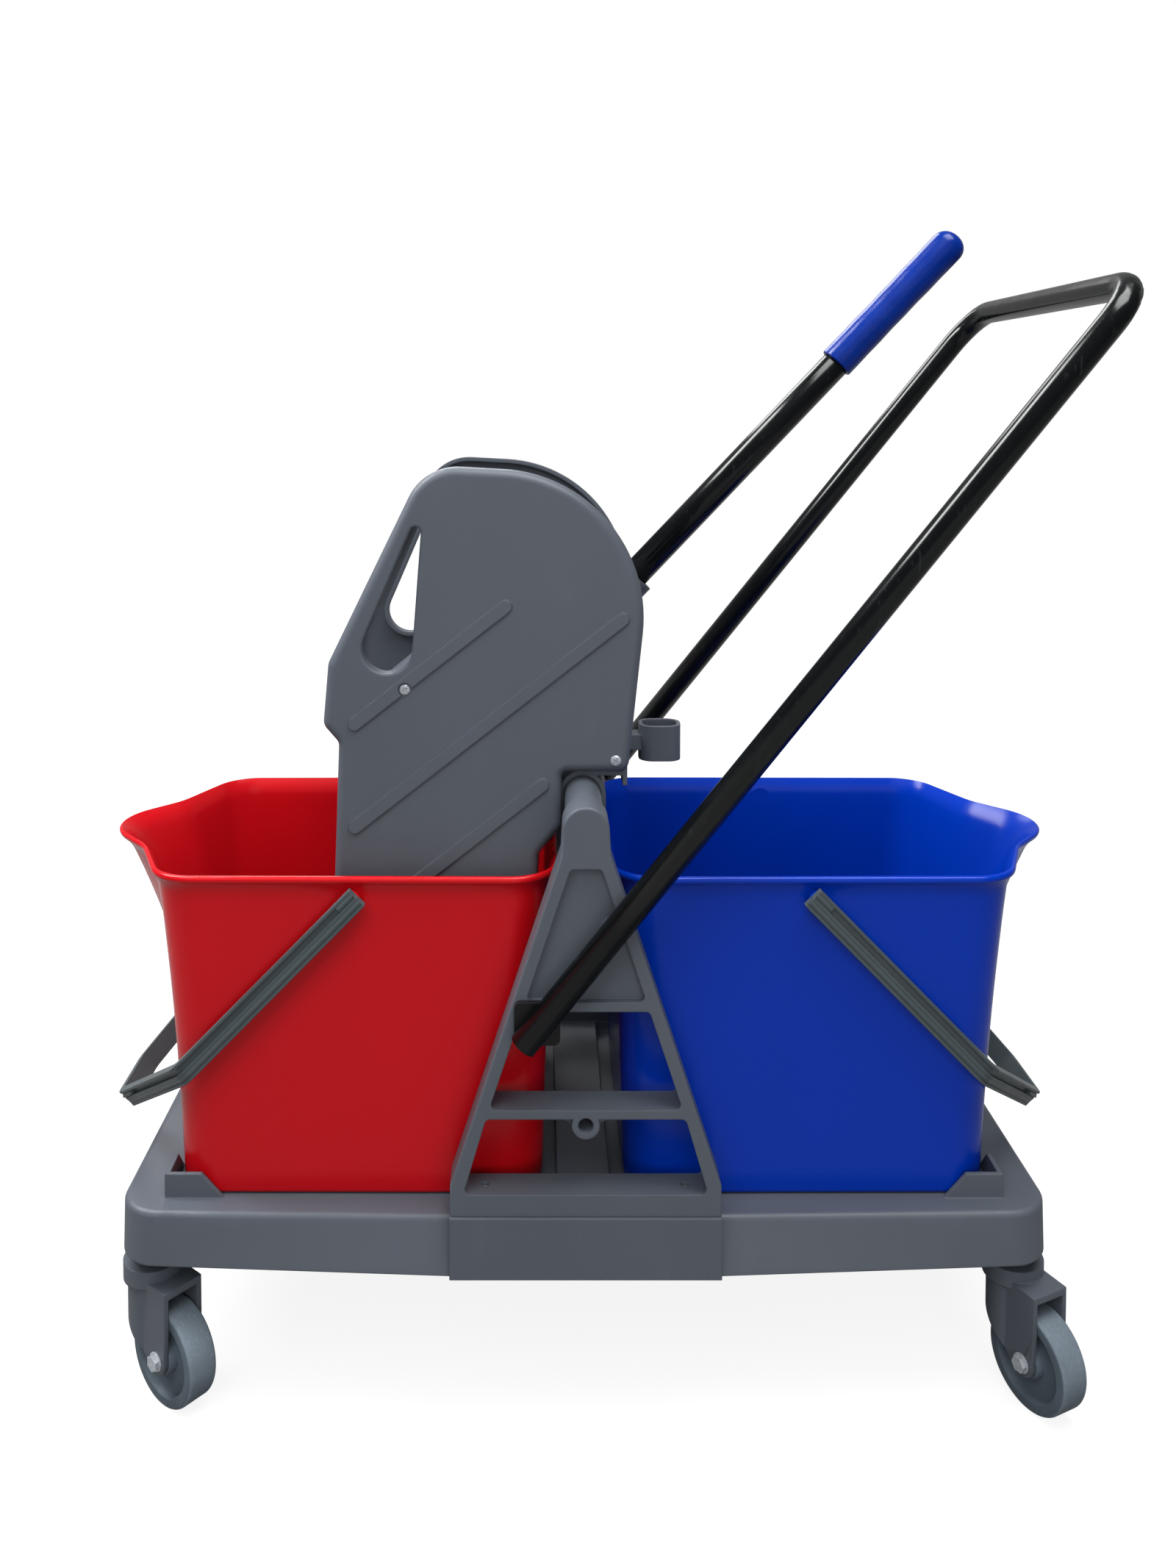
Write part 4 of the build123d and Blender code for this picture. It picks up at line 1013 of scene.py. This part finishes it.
    def boss(self, draft: BMesh, side: int, way: int) -> None:
        """Add the round boss that a bail's peg turns in.

        Args:
            draft: The bucket's draft.
            side: -1 for the red side, 1 for the blue side.
            way: -1 for the near wall, 1 for the far wall.
        """
        radius, soft, long = self.boss_radius, self.boss_soft, self.boss_face - self.boss_root
        place = Vector((side * self.boss_x, way * self.boss_root, self.foot_z + self.height - self.boss_drop))
        profile = [(radius + out, height) for out, height in self.boss_collar] + [(radius, long - soft)]
        profile += [(radius - soft * (1 - cos(angle)), long - soft * (1 - sin(angle)))
                    for angle in arc(steps=4, first=1)]
        lathe(draft, profile, axis_frame(place, Vector((0, way, 0))), self.boss_facets)

    def dress(self) -> None:
        """Build both buckets."""
        self.build("red_bucket", -1, Finish.RED)
        self.build("blue_bucket", 1, Finish.BLUE)


@dataclass
class Bails:
    """Grey bails: bent flat bars with one groove left open near the upper edge.

    Args:
        hang: How far the arms hang down from level, in degrees.
    """

    hang: float = 45.5
    pivot: Point2 = (190.0 * MM, 413.3 * MM)
    middle: float = 152.0 * MM
    arm: float = 195.5 * MM
    reach: float = 311.0 * MM
    fist: float = 32.0 * MM
    tail: float = 8.6 * MM
    bend: float = 17.5 * MM
    bend_steps: int = 8
    thick: float = 3.6 * MM
    sunk: float = 1.5 * MM
    groove: float = 3.95 * MM
    groove_width: float = 5.1 * MM
    groove_end: float = 0.82
    edge: float = 0.5 * MM

    def route(self, side: int, level: float, points: Sequence[Point2]) -> list[Vector]:
        """Find the places of points in the bail's plane.

        Args:
            side: -1 for the red side, 1 for the blue side.
            level: Height of the points above the plane.
            points: Distance along the arm and across of each point.

        Returns:
            The places.
        """
        along = tilted(-self.hang)
        up = Vector((-along.z, 0, along.x))
        start = Vector((self.pivot[0], 0, self.pivot[1]))
        places = [start + along * reach + Vector((0, across, 0)) + up * level for reach, across in points]
        return [Vector((side * place.x, place.y, place.z)) for place in places]

    def build(self, node: str, side: int) -> None:
        """Round one bail's edges and close its lower groove and the ends of its upper groove.

        Args:
            node: The node that it stands for.
            side: -1 for the red side, 1 for the blue side.
        """
        softened(node, Finish.BAIL, self.edge)
        slope = Vector((self.middle - self.fist, self.reach - self.arm)).normalized()
        knee = (self.arm + self.sunk * (1 - slope.y) / slope.x, self.middle + self.sunk)
        fist = (self.reach + self.sunk, self.fist + self.sunk * (1 - slope.x) / slope.y)
        near = tuple(start + (end - start) * self.groove_end for start, end in zip(knee, fist))
        tail = (-self.tail, knee[1])

        def mirrored(half: Sequence[Point2]) -> list[Point2]:
            """A half route and its other half."""
            return list(half) + [(reach, -across) for reach, across in reversed(half)]

        routes = {"lower": (-self.groove, mirrored([tail, knee, fist])),
                  "front": (self.groove, mirrored([near, fist])),
                  "near_end": (self.groove, [tail, (self.tail, knee[1])]),
                  "far_end": (self.groove, [(-self.tail, -knee[1]), (self.tail, -knee[1])])}
        sizes = {"Thickness": ("Float", "Width"), "Width": ("Float", "Height")}
        for name, (level, points) in routes.items():
            band = sweep_rule("BentStrip", "Quadrilateral", sizes, solid=True).run(
                route_object(f"{node}_{name}_band", self.route(side, level, points)), Finish.BAIL,
                {"Thickness": self.thick, "Width": self.groove_width, "Bend radius": self.bend,
                 "Bend steps": self.bend_steps})
            ride_with(band, node)

    def dress(self) -> None:
        """Build both bails."""
        self.build("red_bail", -1)
        self.build("blue_bail", 1)


# Chassis


@dataclass
class Chassis:
    """Base tray, towers, beam and handle saddles: mouldings with softened edges.

    Args:
        edge: Rounding of the large mouldings' edges.
        small_edge: Rounding of the small mouldings' edges.
    """

    edge: float = 1.1 * MM
    small_edge: float = 0.6 * MM
    mouldings: tuple[str, ...] = ("base_tray", "tower_near", "tower_far", "hanger_beam")
    hidden: dict[str, Finish] = field(default_factory=lambda: {
        "caster_sockets": Finish.GREY, "caster_stems": Finish.ZINC, "tower_screws": Finish.ZINC,
        "handle_bolts": Finish.ZINC})

    def dress(self) -> None:
        """Round the mouldings and finish the pieces under and behind them."""
        for node in self.mouldings:
            softened(node, Finish.GREY, self.edge)
        softened("handle_saddles", Finish.BLACK, self.small_edge)
        for node, finish in self.hidden.items():
            dress_node(node, finish)


# Casters


@dataclass
class Casters:
    """Four swivel casters with lathe-turned wheels, moulded forks and hexagon axle bolts.

    Args:
        corners: The casters' places on the base.
        sharp: Angle above which a wheel's edge stays sharp, in degrees.
        hub_curve: Radius past the hub and height over the dish of points beside the hub.
        rim_curve: Radius short of the rim and height over the dish of points beside the rim.
    """

    corners: tuple[str, ...] = ("near_left", "near_right", "far_left", "far_right")
    facets: int = 96
    sharp: float = 38
    radius: float = 40.0 * MM
    half_width: float = 13.0 * MM
    hub_half: float = 13.45 * MM
    edge: float = 3.0 * MM
    tread_share: float = 0.6
    rim: float = 9.0 * MM
    dish: float = 7.0 * MM
    hub: float = 13.0 * MM
    hub_edge: float = 1.0 * MM
    hub_curve: tuple[Point2, ...] = ((0.8 * MM, 0.8 * MM), (2.2 * MM, 0.0))
    rim_curve: tuple[Point2, ...] = ((3.2 * MM, 0.0), (1.6 * MM, 0.7 * MM), (0.5 * MM, 6.1 * MM),
                                     (-0.5 * MM, 7.0 * MM))
    bore: float = 4.06 * MM
    fork_edge: float = 0.9 * MM
    cheek_face: float = 17.95 * MM

    def wheel_profile(self) -> list[Point2]:
        """Shape a wheel from the hub over the tread to the other hub.

        Returns:
            Radius and offset from the wheel's middle of each point.
        """
        rim_in, floor = self.radius - self.rim, self.half_width - self.dish
        face = [(self.bore, self.hub_half), (self.hub - self.hub_edge, self.hub_half),
                (self.hub, self.hub_half - self.hub_edge)]
        face += [(self.hub + out, floor + rise) for out, rise in self.hub_curve]
        face += [(rim_in - short, floor + rise) for short, rise in self.rim_curve]
        face += [(self.radius - self.edge * (1 - sin(angle)), self.half_width - self.edge * (1 - cos(angle)))
                 for angle in arc(steps=6)]
        return face + [(radius, -offset) for radius, offset in reversed(face)]

    def dress(self) -> None:
        """Build each caster's wheel, fork and axle bolt with its nut."""
        joints = {joint["name"]: joint for joint in frame["joints"]}
        tread = self.radius - self.edge * self.tread_share
        for corner in self.corners:
            roll = joints[f"roll_{corner}"]
            place, axis = Vector(roll["pos_m"]), Vector(roll["axis"]).normalized()
            draft = bmesh.new()
            lathe(draft, self.wheel_profile(), axis_frame(place, axis), self.facets)
            # Faces beyond the tread radius take the lighter TREAD finish, a painted highlight on the tread ring.
            for face in draft.faces:
                away = face.calc_center_median() - place
                face.material_index = int((away - axis * away.dot(axis)).length > tread)
            wheel = piece_from_draft(f"wheel_{corner}_tyre", draft, self.sharp, Finish.WHEEL, Finish.TREAD)
            stand_for(wheel, f"wheel_{corner}")
            softened(f"fork_{corner}", Finish.GREY, self.fork_edge)
            ends = [(place + axis * way * self.cheek_face, axis * way) for way in (-1, 1)]
            stand_for(zinc_heads(f"axle_bolt_{corner}_heads", ends, hex_head), f"axle_bolt_{corner}")


# Fasteners

WASHER = ((2.0, 0.0), (7.6, 0.0), (7.6, 0.9), (7.3, 1.2), (2.0, 1.2))
HEXAGON = ((6.5, 1.2), (6.7, 1.6), (6.7, 4.0), (6.2, 4.5), (4.6, 4.5))
HEAD_SHARP = 30  # Angle above which a head's edge stays sharp, in degrees.


def hex_head() -> BMesh:
    """Draft a chamfered hexagon head on a washer.

    Returns:
        The draft.
    """
    draft = bmesh.new()
    for profile, facets in ((WASHER, 40), (HEXAGON, 6)):
        lathe(draft, [(radius * MM, height * MM) for radius, height in profile], Matrix.Identity(4), facets)
    return draft


def pan_head() -> BMesh:
    """Draft a domed screw head with a cross recess.

    Returns:
        The draft.
    """
    radius, skirt, height, tip, rows, facets = 4.5 * MM, 0.7 * MM, 2.6 * MM, 0.02 * MM, 22, 72
    slot, arm, deep, taper, shoulder = 0.62 * MM, 2.5 * MM, 1.3 * MM, 0.6, 0.8 * MM
    draft = bmesh.new()
    profile = [(radius, 0.0), (radius, skirt)]
    profile += [(max(radius * cos(angle), tip), skirt + (height - skirt) * sin(angle))
                for angle in arc(rows, first=1)]
    lathe(draft, profile, Matrix.Identity(4), facets)
    for vertex in draft.verts:
        x, y = abs(vertex.co.x), abs(vertex.co.y)
        if max(x, y) < arm and min(x, y) < slot and vertex.co.z > shoulder:
            vertex.co.z -= deep * (1 - taper * max(x, y) / arm)
    return draft


def zinc_heads(name: str, ends: Sequence[tuple[Vector, Vector]], head: Callable[[], BMesh],
               size: float = 1.0) -> Object:
    """Set the same zinc plated fastener at several places.

    Args:
        name: The piece's name.
        ends: Each fastener's seat and the way it faces.
        head: Function that drafts one head.
        size: Scale of the head.

    Returns:
        The piece with all the heads.
    """
    sample = piece_from_draft(f"{name}_sample", head(), HEAD_SHARP, Finish.ZINC)
    mesh = bpy.data.meshes.new(name)
    mesh.from_pydata([tuple(place) for place, _ in ends], [], [])
    facing = mesh.attributes.new("facing", "FLOAT_VECTOR", "POINT")
    for index, (_, way) in enumerate(ends):
        facing.data[index].vector = way
    piece = fastener_rule().run(added(name, mesh), Finish.ZINC, {
        "Head": sample, "Size": size, "Twist": tau, "Seed": len(name)})
    bpy.data.objects.remove(sample)
    return piece


# Wringer


@dataclass
class Wringer:
    """Side plates, press basket, rear bridge, mop holder, shaft, spring, jaw and their screws.

    Args:
        edge: Rounding of the mouldings' edges.
    """

    edge: float = 0.7 * MM
    plate_face: float = 108.5 * MM
    tie_front: Point2 = (-148.7 * MM, 579.0 * MM)
    tie_rear: Point2 = (27.3 * MM, 519.0 * MM)
    flange_face: float = 41.5 * MM
    loop_screw: Point2 = (11.0 * MM, 520.5 * MM)
    loop_screw_size: float = 0.88
    mouldings: tuple[str, ...] = ("side_plate_near", "side_plate_far", "press_basket", "rear_bridge",
                                  "mop_holder_loop", "press_jaw")
    steel: dict[str, Finish] = field(default_factory=lambda: {
        "pivot_shaft": Finish.ZINC, "return_spring": Finish.WIRE, "lever_bolt": Finish.ZINC})

    def dress(self) -> None:
        """Round the mouldings, set the screws and finish the steel."""
        for node in self.mouldings:
            softened(node, Finish.GREY, self.edge)
        ends = [(Vector((x, way * self.plate_face, z)), Vector((0, way, 0)))
                for x, z in (self.tie_front, self.tie_rear) for way in (-1, 1)]
        stand_for(zinc_heads("plate_screw_heads", ends, pan_head), "plate_screws")
        y, z = self.loop_screw
        ends = [(Vector((self.flange_face, way * y, z)), Vector((1, 0, 0))) for way in (-1, 1)]
        stand_for(zinc_heads("loop_screw_heads", ends, pan_head, self.loop_screw_size), "loop_screws")
        for node, finish in self.steel.items():
            dress_node(node, finish)


# Studio


@dataclass
class Studio:
    """Plain pale floor, soft lamps and a camera at the photograph's viewing angle.

    Args:
        pitch: How far the camera looks down, in degrees.
        floor_tone: The floor's grey, as the object sees it.
        floor_glow: How bright the camera sees the floor near the object.
        glow_rise: Distances between which the floor turns white.
        lamp_list: Name, place, length, width and power of each lamp.
        unmirrored: Lamps that don't show in reflections.
    """

    pitch: float = 2.5
    camera_place: Point3 = (-0.0389, -1.2101, 0.8188)
    lens: float = 30.603
    sensor: float = 36.0
    shift: Point2 = (0.0328, -0.2068)
    floor_size: float = 9.0
    floor_tone: float = 0.15
    floor_mottle: float = 0.985
    floor_glow: float = 0.87
    glow_rise: Point2 = (0.7, 2.0)
    world_light: float = 0.20
    aim: Point3 = (0.0, 0.0, 0.45)
    lamp_list: tuple[tuple[str, Point3, float, float, float], ...] = (
        ("key", (-0.9, -2.2, 2.7), 2.0, 2.0, 62.0), ("fill", (0.4, -2.6, 0.9), 1.6, 1.6, 28.0),
        ("top", (0.6, -0.6, 3.0), 1.6, 1.6, 85.0), ("back", (-0.6, 2.2, 2.6), 1.4, 1.4, 45.0),
        ("strip", (-1.3, 0.06, 1.94), 1.3, 0.6, 60.0))
    unmirrored: tuple[str, ...] = ("key", "fill")

    def floor(self) -> None:
        """Lay the floor."""
        mesh = bpy.data.meshes.new("studio_floor")
        half = self.floor_size / 2
        mesh.from_pydata([(-half, -half, 0), (half, -half, 0), (half, half, 0), (-half, half, 0)], [],
                         [(0, 1, 2, 3)])
        floor = added("studio_floor", mesh)
        draft = ShaderDraft("studio_floor")
        pale, dull = ((self.floor_tone * share,) * 3 + (1.0,) for share in (1.0, self.floor_mottle))
        colour = draft.mix(draft.spread(draft.noise(0.6, 2), MIDDLE, FULL), pale, dull)
        seen = draft.combined("MULTIPLY", *draft.background_rays(draft.place))
        away = draft.node("VectorMath", {"Vector": draft.place})
        away.operation = "LENGTH"
        level = draft.spread(away.outputs["Value"], self.glow_rise, (self.floor_glow, 1.0))
        mesh.materials.append(draft.dress(
            {"Roughness": 0.9, "Specular IOR Level": 0.1, "Emission Color": WHITE}, Base_Color=colour,
            Emission_Strength=draft.combined("MULTIPLY", seen, level)))

    def lamps(self) -> None:
        """Hang the lamps, turned in line with the push handle."""
        run = tilted(BentTubes.handle_tilt)
        for name, place, long, wide, power in self.lamp_list:
            lamp = bpy.data.lights.new(f"{name}_lamp", "AREA")
            lamp.shape, lamp.size, lamp.size_y, lamp.energy = "RECTANGLE", long, wide, power
            back = (Vector(place) - Vector(self.aim)).normalized()
            side = back.cross(run).normalized()
            turn = Matrix((side.cross(back), side, back)).transposed()
            hung = added(f"{name}_lamp", lamp)
            hung.matrix_world = Matrix.Translation(place) @ turn.to_4x4()
            hung.visible_glossy = name not in self.unmirrored

    def world(self) -> None:
        """Light the world softly and let the camera see it white."""
        world = bpy.data.worlds.new("studio_world")
        bpy.context.scene.world = world
        world.use_nodes = True
        sky = ShaderTree(world.node_tree)
        direct, bright = sky.background_rays(sky.node("TexCoord").outputs["Generated"])
        strength = sky.node("Mix", {"Factor": direct, "B": bright}, A=self.world_light)
        light = sky.tree.nodes["Background"].inputs
        sky.tree.links.new(strength.outputs["Result"], light["Strength"])
        light["Color"].default_value = WHITE

    def camera(self) -> None:
        """Set the camera."""
        data = bpy.data.cameras.new("photo_camera")
        data.lens, data.sensor_width = self.lens, self.sensor
        data.shift_x, data.shift_y = self.shift
        camera = added("photo_camera", data)
        camera.location = self.camera_place
        camera.rotation_euler = (radians(90 - self.pitch), 0, 0)
        bpy.context.scene.camera = camera

    def dress(self) -> None:
        """Build the studio."""
        self.camera()
        self.floor()
        self.lamps()
        self.world()
        bpy.context.scene.view_settings.view_transform = "Standard"


def main() -> None:
    """Build every sub-assembly in order."""
    logging.basicConfig(level=logging.INFO, format="%(message)s")
    Studio().dress()
    Chassis().dress()
    Casters().dress()
    Buckets().dress()
    Bails().dress()
    tubes = BentTubes()
    tubes.handle()
    tubes.lever()
    Wringer().dress()


if __name__ == "__main__":
    main()
